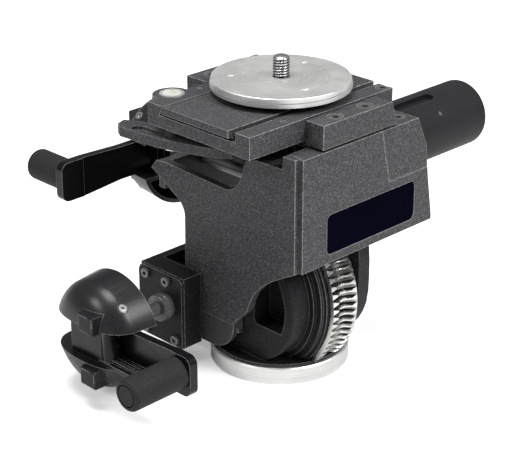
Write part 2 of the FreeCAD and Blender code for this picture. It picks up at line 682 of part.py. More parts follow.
def housing_walls():
    """The walls, deck and ribs of the main casting before any cuts."""
    back_y = HOUSING_BACK_Y + BACK_WALL_THICKNESS
    in_y = LABEL_WALL_INNER_Y - 0.5
    wall = slab_y(label_outline(), LABEL_FACE_Y, LABEL_WALL_INNER_Y)
    deck = block(DECK_LEFT, REAR_TOP_X - 12, in_y, HOUSING_BACK_Y + 1, DECK_BOTTOM, HOUSING_TOP)
    lip = block(WALL_RIGHT, DECK_LEFT + 1, in_y, -41.0, DECK_BOTTOM, HOUSING_TOP)
    back = block(DECK_LEFT, REAR_TOP_X - 12, HOUSING_BACK_Y, back_y, BACK_WALL_LOW, HOUSING_TOP)
    back_right = block(20.0, REAR_TOP_X - 2, HOUSING_BACK_Y, back_y, HOUSING_BOTTOM, 118.0)
    back_low = block(WALL_RIGHT, DECK_LEFT + 1, HOUSING_BACK_Y, back_y, 98.0, 114.5)
    end = slab_y(end_wall_outline(), in_y, back_y)
    web_front = block(WORM_AXIS_X - 9, WORM_AXIS_X + 9, -20.5, -14.5, 102.0, DECK_BOTTOM + 1)
    web_back = block(WORM_AXIS_X - 9, WORM_AXIS_X + 9, 14.5, 20.5, 102.0, DECK_BOTTOM + 1)
    cheek_web = block(CHEEK_RIGHT, CHEEK_RIGHT + 5, in_y, 6.0, 84.0, DECK_BOTTOM + 1)
    shapes = [wall, deck, lip, back, back_right, back_low, end, web_front, web_back, cheek_web]
    shapes.append(rod_y(WORM_AXIS_X, WORM_AXIS_Z, BOSS_RADIUS, HOUSING_BACK_Y + 1, BOSS_END_Y))
    ear_low = HINGE_Z - HINGE_EAR_RADIUS
    for y0, y1 in HINGE_EARS:
        shapes.append(block(HINGE_X, DECK_LEFT + 1, y0, y1, ear_low, HINGE_Z + HINGE_EAR_RADIUS))
        shapes.append(rod_y(HINGE_X, HINGE_Z, HINGE_EAR_RADIUS, y0, y1))
        shapes.append(block(DECK_LEFT, DECK_LEFT + 4, y0, y1, ear_low, DECK_BOTTOM + 1))
    return joined(shapes)


def make_label_housing():
    """Main tilting casting: label wall, deck, back wall and end wall."""
    body = housing_walls()
    recess = block(
        LABEL_LEFT, LABEL_RIGHT, LABEL_FACE_Y - 1, LABEL_FACE_Y + LABEL_DEPTH, LABEL_BOTTOM, LABEL_TOP
    )
    recess = rounded(recess, LABEL_ROUND, label_corner(LABEL_LEFT, LABEL_RIGHT, LABEL_BOTTOM, LABEL_TOP))
    tools = [
        recess,
        slab_y(rear_notch_outline(), LABEL_FACE_Y - 1, REAR_BLOCK_BACK_Y),
        block(-60, WALL_RIGHT, WALL_JOINT_Y, 80, 60, 200),
        rod_y(WORM_AXIS_X, WORM_AXIS_Z, WORM_BEARING_RADIUS, -30, 30),
        rod_y(WORM_AXIS_X, WORM_AXIS_Z, CRANK_SHAFT_RADIUS + RUNNING_FIT, 30, 90),
        rod_x(TUBE_Y, TUBE_Z, TUBE_RADIUS + RUNNING_FIT, 50, 90),
        rod_y(HINGE_X, HINGE_Z, HINGE_RADIUS, HINGE_FRONT_Y - 0.1, HINGE_BACK_Y + 0.1),
        slab_y([(WALL_RIGHT - 4, 70), (WALL_RIGHT - 4, 90), (9.2, 90), (9.2, 70)], LABEL_WALL_INNER_Y, 80),
    ]
    body = carved(body, tools)
    front_y = LABEL_WALL_INNER_Y + 0.1
    post = block(POST_LEFT, POST_RIGHT, front_y, -39.4, POST_LOW, REAR_CEILING_Z - SEAT_GAP)
    ledge = block(POST_LEFT, POST_RIGHT, LABEL_WALL_INNER_Y - 0.5, -33.0, POST_LOW, 114.0)
    post = joined([post, ledge])
    post = carved(post, [rear_screw_space(), rod_x(TUBE_Y, TUBE_Z, TUBE_RADIUS + 0.5, 20, 90)])
    return joined([body, post])


def label_corner(left, right, low, high):
    """Test for the four corner edges of the label outline."""
    def test(p):
        near_side = min(abs(p.x - left), abs(p.x - right)) < 0.01
        near_end = min(abs(p.z - low), abs(p.z - high)) < 0.01
        return near_side and near_end
    return test


def rear_screw_space():
    """Space for the screw of the rear block."""
    return counterbore(V(50.0, -43.8, HOUSING_TOP), V(0, 0, 1), 3.6, 3.2, 2.0, 8.0)


def make_rear_block():
    """Separate cap block at the rear upper corner, hollow underneath."""
    outline = [
        (REAR_SEAM_TOP_X, HOUSING_TOP), (REAR_SEAM_LOW_X, REAR_STEP_Z), (REAR_TOP_X + 0.4, REAR_STEP_Z),
        (REAR_TOP_X - 1.4, 130.0), (REAR_TOP_X - 9.4, HOUSING_TOP),
    ]
    body = slab_y(outline, LABEL_FACE_Y, REAR_BLOCK_BACK_Y)
    hollow_outline = [
        (36.0, REAR_CEILING_Z), (39.0, REAR_STEP_Z - 1), (61.0, REAR_STEP_Z - 1), (56.5, REAR_CEILING_Z),
    ]
    hollow = slab_y(hollow_outline, LABEL_FACE_Y + 4.4, REAR_BLOCK_BACK_Y + 1)
    tools = [hollow, rear_screw_space(), rod_x(TUBE_Y, TUBE_Z, TUBE_RADIUS + 0.3, 20, 90)]
    return carved(body, tools)


def make_rear_block_screw():
    """Screw in the top of the rear block."""
    return socket_screw(V(50.0, -43.8, HOUSING_TOP), V(0, 0, 1), 3.6, 3.2, 2.0, 7.6)


def make_label_panel():
    """Blank dark plate set into the label recess."""
    left, right = LABEL_LEFT + PANEL_GAP, LABEL_RIGHT - PANEL_GAP
    low, high = LABEL_BOTTOM + PANEL_GAP, LABEL_TOP - PANEL_GAP
    panel = block(left, right, LABEL_FACE_Y + 0.3, LABEL_FACE_Y + LABEL_DEPTH, low, high)
    return rounded(panel, LABEL_ROUND, label_corner(left, right, low, high))


def make_right_cheek():
    """Rounded bearing plate on the right of the wheel."""
    outline = [(LABEL_WALL_INNER_Y, 110.0), (LABEL_WALL_INNER_Y, HOUSING_BOTTOM), (-52.9, 80.9), (-53.6, 72.0)]
    outline += [(-53.7, 62.0), (-53.4, 53.0), (-52.0, 44.5), (-49.6, 38.2), (-46.6, 33.0)]
    outline += [(-43.6, 29.8)]
    outline += [(-38.0, 27.8), (-30.0, 28.8), (-18.0, 33.2)]
    outline += arc_points(0, TILT_AXIS_Z, 14.6, 262, 385, 10)
    outline += [(8.0, 66.0), (6.0, 82.0), (2.0, 110.0)]
    plate = slab_x(outline, CHEEK_LEFT, CHEEK_RIGHT)
    tools = [
        rod_x(0, TILT_AXIS_Z, BUSHING_RADIUS, 0, RIGHT_BUSHING_START + BUSHING_LENGTH),
        rod_y(WORM_AXIS_X, WORM_AXIS_Z, WORM_TIP_RADIUS + CAST_GAP, -60, 60),
    ]
    return carved(plate, tools)


def make_worm_bearings():
    """Two bronze bushes that carry the worm shaft."""
    bushes = []
    for y0, y1 in ((-20.5, -14.0), (14.0, 20.5)):
        bush = rod_y(WORM_AXIS_X, WORM_AXIS_Z, WORM_BEARING_RADIUS, y0, y1)
        bore = rod_y(WORM_AXIS_X, WORM_AXIS_Z, CRANK_SHAFT_RADIUS + RUNNING_FIT, -60, 60)
        bushes.append(bush.cut(bore))
    return Part.makeCompound(bushes)


def make_hinge_axle():
    """Steel hinge axle of the front tilt, fixed in the housing ears."""
    return rod_y(HINGE_X, HINGE_Z, HINGE_RADIUS, HINGE_FRONT_Y, HINGE_BACK_Y)


def make_spring_tube():
    """Long tube for the counterbalance spring, with a slot in its top."""
    tube = rod_x(TUBE_Y, TUBE_Z, TUBE_RADIUS, TUBE_START, TUBE_END)
    rim = [e for e in tube.Edges if abs(e.CenterOfMass.x - TUBE_END) < 0.01]
    tube = tube.makeFillet(TUBE_END_ROUND, rim)
    bore = rod_x(TUBE_Y, TUBE_Z, TUBE_BORE_RADIUS, TUBE_START - 1, TUBE_END - 3.0)
    slot_centre = TUBE_SLOT_END - TUBE_SLOT_HALF
    slot = block(TUBE_SLOT_START, slot_centre, -TUBE_SLOT_HALF, TUBE_SLOT_HALF, 10, 30)
    slot = slot.fuse(rod_z(slot_centre, 0, TUBE_SLOT_HALF, 10, 30))
    slot.rotate(V(0, 0, 0), V(1, 0, 0), TUBE_SLOT_ANGLE)
    slot.translate(V(0, TUBE_Y, TUBE_Z))
    hole = Part.makeCylinder(TUBE_SCREW_RADIUS, 30, V(TUBE_SCREW_X, 0, 0), V(0, 0, 1))
    hole.rotate(V(0, 0, 0), V(1, 0, 0), TUBE_SCREW_ANGLE)
    hole.translate(V(0, TUBE_Y, TUBE_Z))
    return carved(tube, [bore, slot, hole])


def make_tube_sleeve():
    """Inner sleeve that covers the spring, seen through the slot."""
    sleeve = rod_x(TUBE_Y, TUBE_Z, TUBE_BORE_RADIUS, TUBE_START + 1, TUBE_END - 4.0)
    return carved(sleeve, [rod_x(TUBE_Y, TUBE_Z, TUBE_BORE_RADIUS - 1.6, 50, 160)])


def make_tube_screw():
    """Small grub screw in the side of the tube."""
    screw = Part.makeCylinder(TUBE_SCREW_RADIUS, 2.4, V(TUBE_SCREW_X, 0, TUBE_BORE_RADIUS), V(0, 0, 1))
    screw = screw.cut(Part.makeCylinder(0.7, 2, V(TUBE_SCREW_X, 0, TUBE_BORE_RADIUS + 1.2), V(0, 0, 1)))
    screw.rotate(V(0, 0, 0), V(1, 0, 0), TUBE_SCREW_ANGLE)
    screw.translate(V(0, TUBE_Y, TUBE_Z))
    return screw


def make_receiver():
    """Platform casting with the channel for the camera plate and the level ear."""
    body = slab_z(
        [(RECEIVER_LEFT, -RECEIVER_HALF_WIDTH), (RECEIVER_RIGHT, -RECEIVER_HALF_WIDTH),
         (RECEIVER_RIGHT, RECEIVER_HALF_WIDTH), (RECEIVER_LEFT, RECEIVER_HALF_WIDTH)],
        RECEIVER_BOTTOM, RECEIVER_TOP,
    )
    ear = rod_z(LEVEL_X, LEVEL_Y, LEVEL_EAR_RADIUS, RECEIVER_BOTTOM + 3, RECEIVER_TOP)
    boss_low = LEVER_TOP + RUNNING_FIT
    boss = rod_z(LEVER_PIVOT_X, LEVER_PIVOT_Y, LEVER_BOSS_RADIUS, boss_low, RECEIVER_BOTTOM + 1)
    channel = slab_x(
        [(CHANNEL_RIGHT, 170), (CHANNEL_RIGHT, CHANNEL_FLOOR), (CHANNEL_LEFT_BOTTOM, CHANNEL_FLOOR),
         (CHANNEL_LEFT_TOP, RECEIVER_TOP), (CHANNEL_LEFT_TOP, 170)],
        RECEIVER_LEFT - 1, RECEIVER_RIGHT + 1,
    )
    tools = [
        channel,
        rod_z(LEVEL_X, LEVEL_Y, LEVEL_RADIUS, RECEIVER_TOP - LEVEL_DEPTH, RECEIVER_TOP + 1),
        rod_z(LEVER_PIVOT_X, LEVER_PIVOT_Y, LEVER_SCREW_RADIUS, LEVER_TOP - 1, CHANNEL_FLOOR - 1.4),
    ]
    for x, y in RECEIVER_SCREWS:
        tools.append(counterbore(V(x, y, RECEIVER_TOP), V(0, 0, 1), 3.6, 3.4, 2.0, 6.0))
    for x, y in RECEIVER_PINS:
        tools.append(rod_z(x, y, RECEIVER_PIN_RADIUS, RECEIVER_TOP - 6, RECEIVER_TOP + 1))
    return carved(joined([body, ear, boss]), tools)


def make_receiver_screws():
    """Socket screws in the rim of the platform."""
    screws = []
    for x, y in RECEIVER_SCREWS:
        screws.append(socket_screw(V(x, y, RECEIVER_TOP - 0.2), V(0, 0, 1), 3.6, 3.2, 2.0, 5.6))
    return Part.makeCompound(screws)


def make_receiver_pins():
    """Bright dowel pins flush with the rim of the platform."""
    pins = []
    for x, y in RECEIVER_PINS:
        pins.append(rod_z(x, y, RECEIVER_PIN_RADIUS, RECEIVER_TOP - 6, RECEIVER_TOP + 0.1))
    return Part.makeCompound(pins)


def make_clamp_block():
    """Block on the label side of the platform that carries the clamp screws."""
    y0, y1 = CLAMP_FRONT_Y, -RECEIVER_HALF_WIDTH
    outline = [
        (CLAMP_LEFT, CLAMP_BOTTOM), (CLAMP_RIGHT + 4.4, CLAMP_BOTTOM),
        (CLAMP_RIGHT, CLAMP_TOP), (CLAMP_LEFT, CLAMP_TOP),
    ]
    body = slab_y(outline, y0, y1)
    tools = [counterbore(V(x, y, CLAMP_TOP), V(0, 0, 1), 4.2, 3.4, 2.2, 7.0) for x, y in CLAMP_SCREWS]
    return carved(body, tools)


def make_platform_screws():
    """Four socket screws in the tops of the two side blocks of the platform."""
    screws = []
    for x, y in CLAMP_SCREWS:
        screws.append(socket_screw(V(x, y, CLAMP_TOP - 0.2), V(0, 0, 1), 4.2, 3.2, 2.2, 6.6))
    for x, y in SIDE_BLOCK_SCREWS:
        screws.append(socket_screw(V(x, y, RECEIVER_TOP + 0.5), V(0, 0, 1), 4.2, 3.2, 2.2, 6.6))
    return Part.makeCompound(screws)


def make_side_block():
    """Block on the far side of the platform."""
    body = block(-20.0, 36.0, RECEIVER_HALF_WIDTH, 56.0, CLAMP_BOTTOM + 1, RECEIVER_TOP + 0.7)
    tools = []
    for x, y in SIDE_BLOCK_SCREWS:
        tools.append(counterbore(V(x, y, RECEIVER_TOP + 0.7), V(0, 0, 1), 4.2, 3.4, 2.2, 7.0))
    return carved(body, tools)


def make_level_body():
    """Bright cup of the round spirit level."""
    cup = rod_z(LEVEL_X, LEVEL_Y, LEVEL_RADIUS - 0.01, RECEIVER_TOP - LEVEL_DEPTH, RECEIVER_TOP + 0.6)
    inner = rod_z(LEVEL_X, LEVEL_Y, LEVEL_RADIUS - 1.6, RECEIVER_TOP - LEVEL_DEPTH + 1.2, RECEIVER_TOP + 1)
    return carved(cup, [inner])


def make_level_glass():
    """Clear lens of the spirit level."""
    return rod_z(LEVEL_X, LEVEL_Y, LEVEL_RADIUS - 1.6, RECEIVER_TOP - LEVEL_DEPTH + 1.2, RECEIVER_TOP + 0.3)


def make_hinge_bracket():
    """Plate with two lugs that hangs the platform on the hinge axle."""
    plate = block(-38.0, -17.0, HINGE_LUGS[0][0], HINGE_LUGS[1][1], RECEIVER_BOTTOM - 2.4, RECEIVER_BOTTOM)
    shapes = [plate]
    lug_left = HINGE_X - HINGE_LUG_RADIUS
    lug_right = HINGE_X + HINGE_LUG_RADIUS
    for y0, y1 in HINGE_LUGS:
        shapes.append(block(lug_left, lug_right, y0, y1, HINGE_Z, RECEIVER_BOTTOM - 2))
        shapes.append(rod_y(HINGE_X, HINGE_Z, HINGE_LUG_RADIUS, y0, y1))
    return carved(joined(shapes), [rod_y(HINGE_X, HINGE_Z, HINGE_RADIUS + RUNNING_FIT, -60, 80)])


def make_lock_lever():
    """Curved flat lever under the raised end of the platform."""
    outer = [(-60.0, 66.0), (-66.4, 63.6), (-69.2, 58.5), (-67.9, 46.0), (-66.6, 32.3), (-63.5, 20.9)]
    outer += [(-58.6, 6.3), (-56.0, 0.3), (-52.4, -7.0), (-48.6, -10.6)]
    inner = [(-44.6, -9.6), (-43.6, -4.0), (-46.6, 6.0), (-48.4, 18.0), (-49.2, 30.0)]
    inner += [(-51.0, 42.0), (-54.6, 58.0)]
    lever = slab_z(outer + inner, LEVER_BOTTOM, LEVER_TOP)
    slot_points = [(-66.6, 52.0), (-63.0, 54.0), (-59.6, 50.0), (-58.4, 36.6), (-59.8, 35.4), (-64.6, 42.0)]
    slot = slab_z(slot_points, LEVER_TOP - 2.2, LEVER_TOP + 1)
    hole_radius = LEVER_SCREW_RADIUS + RUNNING_FIT
    hole = rod_z(LEVER_PIVOT_X, LEVER_PIVOT_Y, hole_radius, LEVER_BOTTOM - 1, LEVER_TOP + 1)
    return carved(lever, [slot, hole])


def make_lever_screw():
    """Pivot screw of the lock lever."""
    top = V(LEVER_PIVOT_X, LEVER_PIVOT_Y, LEVER_BOTTOM - 2.2)
    length = CHANNEL_FLOOR - 1.6 - LEVER_BOTTOM
    return socket_screw(top, V(0, 0, -1), LEVER_BOSS_RADIUS, 2.15, LEVER_SCREW_RADIUS, length)


def make_camera_plate():
    """Sliding plate with one dovetail side."""
    outline = [
        (PLATE_RIGHT_SIDE, PLATE_BOTTOM), (PLATE_LEFT_SIDE_BOTTOM, PLATE_BOTTOM),
        (PLATE_LEFT_SIDE_TOP, PLATE_TOP), (PLATE_RIGHT_SIDE, PLATE_TOP),
    ]
    plate = slab_x(outline, PLATE_LEFT, PLATE_RIGHT)
    step = block(PLATE_LEFT - 1, PLATE_LEFT + 3.4, -60, 60, PLATE_BOTTOM - 1, PLATE_BOTTOM + 1.6)
    tools = [
        step,
        rod_z(0, 0, SCREW_HEAD_RADIUS + 0.4, PLATE_BOTTOM - 1, PLATE_BOTTOM + 3.4),
        rod_z(0, 0, CAMERA_SCREW_RADIUS + RUNNING_FIT, 150, 180),
    ]
    return carved(plate, tools)


def make_camera_pad():
    """Round black pedestal between the plate and the disc."""
    pad = rod_z(0, 0, PAD_RADIUS, PLATE_TOP, DISC_TOP - DISC_THICKNESS)
    return carved(pad, [rod_z(0, 0, CAMERA_SCREW_RADIUS + RUNNING_FIT, 150, 180)])


def make_camera_disc():
    """Bright two-layer disc the camera stands on, with ring grooves."""
    bottom = DISC_TOP - DISC_THICKNESS
    lower = rod_z(0, 0, DISC_RADIUS, bottom, bottom + 2.4)
    upper = rod_z(0, 0, DISC_RADIUS - 0.5, bottom + 2.2, DISC_TOP)
    rim = [e for e in upper.Edges if abs(e.CenterOfMass.z - DISC_TOP) < 0.01]
    upper = upper.makeFillet(0.6, rim)
    body = joined([lower, upper])
    seam = rod_z(0, 0, DISC_RADIUS + 2, bottom + 2.2, bottom + 2.7)
    seam = seam.cut(rod_z(0, 0, DISC_RADIUS - 1.3, 150, 180))
    tools = [seam, rod_z(0, 0, CAMERA_SCREW_RADIUS + RUNNING_FIT, 150, 180)]
    for radius, width in DISC_GROOVES:
        groove = rod_z(0, 0, radius + width / 2.0, DISC_TOP - 0.5, DISC_TOP + 1)
        tools.append(groove.cut(rod_z(0, 0, radius - width / 2.0, 150, 180)))
    for angle in DISC_ARROWS:
        a = math.radians(angle)
        tip = (30.4 * math.cos(a), 30.4 * math.sin(a))
        left = (26.6 * math.cos(a + 0.06), 26.6 * math.sin(a + 0.06))
        right = (26.6 * math.cos(a - 0.06), 26.6 * math.sin(a - 0.06))
        tools.append(slab_z([tip, left, right], DISC_TOP - 0.5, DISC_TOP + 1))
    return carved(body, tools)


def make_camera_screw():
    """Camera screw with a flat head under the plate and ridges for its thread."""
    top = DISC_TOP + CAMERA_SCREW_HEIGHT
    head = rod_z(0, 0, SCREW_HEAD_RADIUS, PLATE_BOTTOM + 0.3, PLATE_BOTTOM + 3.3)
    shank = rod_z(0, 0, CAMERA_SHANK_RADIUS, PLATE_BOTTOM + 3.2, DISC_TOP + 1.0)
    threaded = rod_z(0, 0, CAMERA_SCREW_RADIUS, DISC_TOP + 0.4, top)
    tip = [e for e in threaded.Edges if abs(e.CenterOfMass.z - top) < 0.01]
    threaded = threaded.makeChamfer(0.9, tip)
    screw = joined([head, shank, threaded])
    pitch = CAMERA_THREAD_PITCH
    tools = []
    count = int((CAMERA_SCREW_HEIGHT - 1.6) / pitch)
    for i in range(count):
        z = DISC_TOP + 1.2 + pitch * (i + 0.5)
        profile = [V(3.96, 0, z), V(5.2, 0, z + 0.76), V(5.2, 0, z - 0.76)]
        tools.append(outline_face(profile).revolve(V(0, 0, 0), V(0, 0, 1), 360))
    key = block(-4.2, 4.2, -0.9, 0.9, PLATE_BOTTOM - 1, PLATE_BOTTOM + 1.8)
    return carved(screw, tools + [key])


class Crank:
    """One crank with a split knob; its own frame has the shaft along X, outward at -X."""

    def __init__(self, name, arm_length, grip_end, inner_end, place, has_worm):
        self.name = name
        self.arm_length = arm_length
        self.grip_end = grip_end
        self.inner_end = inner_end
        self.place = place
        self.has_worm = has_worm

    def put(self, shape):
        """The shape moved to its place on the head."""
        moved = shape.copy()
        self.place(moved)
        return moved

    def shaft(self):
        """Steel shaft from its inner end to the crank hub."""
        return self.put(rod_x(0, 0, CRANK_SHAFT_RADIUS, -8.0, self.inner_end))

    def arm(self):
        """Black cast arm: plate, tray, hub block, half column and lug."""
        end = -self.arm_length
        low, high = -ARM_HALF_HEIGHT - LUG_BELOW, ARM_HALF_HEIGHT + LUG_ABOVE
        plate = slab_x([
            (6.0, -ARM_HALF_HEIGHT), (6.0, ARM_HALF_HEIGHT), (end + 34.0, ARM_HALF_HEIGHT), (end + 8.0, high),
            (end, high), (end, low), (end + 8.0, low), (end + 34.0, -ARM_HALF_HEIGHT),
        ], -ARM_HALF_THICKNESS, ARM_HALF_THICKNESS)
        hub = block(-13.0, 9.0, HUB_Y0, HUB_Y1, -HUB_HALF_HEIGHT, HUB_HALF_HEIGHT)
        tray = block(-14.0, -2.4, end + 14.0, HUB_Y0 + 1, -ARM_HALF_HEIGHT, -ARM_HALF_HEIGHT + 2.4)
        column = rod_z(-9.2, HUB_Y0 - 3.6, 4.6, -ARM_HALF_HEIGHT, ARM_HALF_HEIGHT)
        bridge = block(-11.0, -2.4, HUB_Y0 - 3.6, HUB_Y0 + 1, -ARM_HALF_HEIGHT, ARM_HALF_HEIGHT)
        shapes = [plate, hub, tray, column, bridge]
        rib_low = -ARM_HALF_HEIGHT + 2.0
        for x in (-6.6, -10.6):
            shapes.append(block(x - 0.7, x + 0.7, end + 15.0, HUB_Y0 - 4, rib_low, rib_low + 1.9))
        lug = block(-ARM_HALF_THICKNESS, ARM_HALF_THICKNESS + 0.6, end - LUG_REACH, end + 6.0, low, high)
        tip = end - LUG_REACH
        lug = rounded(lug, LUG_ROUND, lambda p: abs(p.y - tip) < 0.01 and abs(p.z) > ARM_HALF_HEIGHT)
        shapes.append(lug)
        tools = [
            rod_x(0, 0, CRANK_SHAFT_RADIUS + SEAT_GAP, -8.0, 30),
            rod_x(end, 0, GRIP_PIN_RADIUS + SEAT_GAP, -20, 2.0),
            button_window(1),
            button_window(-1),
        ]
        return self.put(carved(joined(shapes), tools))

    def shell(self, side):
        """One hollow half cowl; side is +1 for the upper and -1 for the lower."""
        outer = shell_solid(0.0)
        inner = shell_solid(SHELL_WALL)
        keep = block(-60, 60, -60, 60, SHELL_GAP_HALF, 60)
        hollow = inner.common(block(-60, 60, -60, 60, SHELL_GAP_HALF + SHELL_WALL, 60))
        body = outer.common(keep)
        if side < 0:
            body = body.mirror(V(0, 0, 0), V(0, 0, 1))
            hollow = hollow.mirror(V(0, 0, 0), V(0, 0, 1))
            keep = keep.mirror(V(0, 0, 0), V(0, 0, 1))
        centre, axis = self.screw_frame(side)
        boss = Part.makeCylinder(3.4, 6.0, centre - axis * 1.0, axis * -1)
        boss = boss.common(outer).common(keep)
        body = joined([carved(body, [hollow, button_window(side)]), boss])
        return self.put(carved(body, [counterbore(centre, axis, 2.4, 2.0, 1.4, 2.2)]))

    def screw_frame(self, side):
        """Head centre and direction of the shell screw."""
        angle = math.radians(SHELL_SCREW_ANGLE)
        axis = V(0, -math.cos(angle), side * math.sin(angle))
        return axis * (SHELL_RIDGE_RADIUS - 0.2) + V(SHELL_RIDGE_X, 0, 0), axis

    def shell_screws(self):
        """Bright screws at the end of the shell ridges."""
        screws = []
        for side in (1, -1):
            centre, axis = self.screw_frame(side)
            screws.append(self.put(socket_screw(centre + axis * 0.3, axis, 2.4, 2.3, 1.4, 2.0)))
        return Part.makeCompound(screws)

    def grip_pin(self):
        """Steel pin fixed in the lug, inside the grip."""
        return self.put(rod_x(-self.arm_length, 0, GRIP_PIN_RADIUS, self.grip_end + 6.0, 2.0))

    def grip(self):
        """Turning grip, hollow on its pin, with a shallow recess in the front end."""
        body = rod_x(-self.arm_length, 0, GRIP_RADIUS, self.grip_end, -2.5 - GRIP_GAP)
        front = [e for e in body.Edges if abs(e.CenterOfMass.x - self.grip_end) < 0.01]
        body = body.makeFillet(GRIP_ROUND, front)
        groove = rod_x(-self.arm_length, 0, PLUG_RADIUS, self.grip_end - 1, self.grip_end + 1.2)
        groove = groove.cut(rod_x(-self.arm_length, 0, PLUG_RADIUS - 0.9, -90, 0))
        tools = [rod_x(-self.arm_length, 0, GRIP_PIN_RADIUS + RUNNING_FIT, self.grip_end + 5.6, 5), groove]
        return self.put(carved(body, tools))

    def button(self, side):
        """One push button at the outer face of a shell."""
        low, high = button_heights(side)
        body = block(BUTTON_FACE_X, BUTTON_STEM_END, BUTTON_Y0, BUTTON_Y1, low, high)
        body = rounded(body, 1.2, lambda p: abs(p.x - BUTTON_FACE_X) < 0.01)
        return self.put(body)


def button_heights(side):
    """Lowest and highest point of a button; side is +1 for the upper one."""
    if side > 0:
        return BUTTON_UPPER_LOW, BUTTON_UPPER_HIGH
    return -BUTTON_LOWER_HIGH, -BUTTON_LOWER_LOW


def button_window(side):
    """Space in which a button moves, with its running gap and travel."""
    low, high = button_heights(side)
    gap = BUTTON_GAP
    return block(-40, BUTTON_STEM_END + BUTTON_ROOM, BUTTON_Y0 - gap, BUTTON_Y1 + gap, low - gap, high + gap)


def shell_solid(wall):
    """Cowl form turned about the crank shaft, made smaller by the wall."""
    back_x = SHELL_BACK_X + wall * 2
    back_radius = SHELL_BACK_RADIUS - wall
    nose = [V(SHELL_RIDGE_X, SHELL_RIDGE_RADIUS - wall, 0)]
    nose += [V(-9.0 + wall * 0.7, 29.4 - wall, 0), V(-13.4 + wall, 25.0 - wall, 0)]
    nose += [V(-16.6 + wall, 18.6 - wall, 0), V(-18.2 + wall, 10.0 - wall * 0.5, 0)]
    nose += [V(SHELL_NOSE_X + wall, 0, 0)]
    curve = Part.BSplineCurve()
    curve.interpolate(nose)
    flat = [V(nose[-1]), V(back_x, 0, 0), V(back_x, back_radius, 0), V(SHELL_BACK_X, back_radius, 0), nose[0]]
    edges = [curve.toShape()]
    for start, end in zip(flat, flat[1:]):
        if start.distanceToPoint(end) > 0.001:
            edges.append(Part.makeLine(start, end))
    face = Part.Face(Part.Wire(edges))
    return face.revolve(V(0, 0, 0), V(1, 0, 0), 360)


def put_pan(shape):
    """Move a crank piece to the pan gearbox."""
    shape.translate(V(PAN_ARM_X, PAN_CRANK_Y, PAN_CRANK_Z))


def put_side(shape):
    """Turn and move a crank piece to the back of the housing."""
    shape.rotate(V(0, 0, 0), V(0, 0, 1), -90)
    shape.translate(V(WORM_AXIS_X, SIDE_ARM_Y, WORM_AXIS_Z))


def save_crank(crank):
    """Write every node of one crank."""
    shaft = crank.shaft()
    if crank.has_worm:
        shaft = shaft.fuse(make_worm())
    save(crank.name + "_crank_shaft", shaft)
    save(crank.name + "_crank_arm", crank.arm())
    save(crank.name + "_shell_upper", crank.shell(1))
    save(crank.name + "_shell_lower", crank.shell(-1))
    save(crank.name + "_shell_screws", crank.shell_screws())
    save(crank.name + "_grip_pin", crank.grip_pin())
    save(crank.name + "_grip", crank.grip())
    save(crank.name + "_button_upper", crank.button(1))
    save(crank.name + "_button_lower", crank.button(-1))


save("base_ring", make_base_ring())
save("base_disc", make_base_disc())
save("thread_insert", make_thread_insert())
save("pan_spindle", make_pan_spindle())
save("spindle_nut", make_spindle_nut())
save("turret_body", make_turret_body())
save("side_rings", make_side_rings())
save("tilt_wheel", make_tilt_wheel())
save("tilt_axle", make_tilt_axle())
save("pan_gearbox", make_pan_gearbox())
save("pan_gearbox_cover", make_pan_cover())
save("pan_cover_screws", make_pan_cover_screws())
save("pan_collar", make_pan_collar())
save("left_side_plate", make_left_plate())
save("tilt_pointer", make_tilt_pointer())
save("label_housing", make_label_housing())
save("rear_block", make_rear_block())
save("rear_block_screw", make_rear_block_screw())
save("label_panel", make_label_panel())
save("right_cheek", make_right_cheek())
save("tilt_bushings", make_tilt_bushings())
save("worm_bearings", make_worm_bearings())
save("hinge_axle", make_hinge_axle())
save("spring_tube", make_spring_tube())
save("tube_sleeve", make_tube_sleeve())
save("tube_screw", make_tube_screw())
save("receiver", make_receiver())
save("receiver_screws", make_receiver_screws())
save("receiver_pins", make_receiver_pins())
save("clamp_block", make_clamp_block())
save("platform_screws", make_platform_screws())
save("side_block", make_side_block())
save("level_body", make_level_body())
save("level_glass", make_level_glass())
save("hinge_bracket", make_hinge_bracket())
save("lock_lever", make_lock_lever())
save("lever_screw", make_lever_screw())
save("camera_plate", make_camera_plate())
save("camera_pad", make_camera_pad())
save("camera_disc", make_camera_disc())
save("camera_screw", make_camera_screw())
pan_crank = Crank("pan", PAN_ARM_LENGTH, PAN_GRIP_END, PAN_SHAFT_END - PAN_ARM_X, put_pan, False)
side_crank = Crank("side", SIDE_ARM_LENGTH, SIDE_GRIP_END, SIDE_ARM_Y - WORM_SHAFT_END_Y, put_side, True)
save_crank(pan_crank)
save_crank(side_crank)
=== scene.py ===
"""Dressed scene of a geared tripod head: finishes, rounded castings, camera screw and studio.

Every length is in metres, and colours are linear.
"""
from __future__ import annotations

import json
import logging
import math
from dataclasses import dataclass
from enum import Enum
from typing import Any

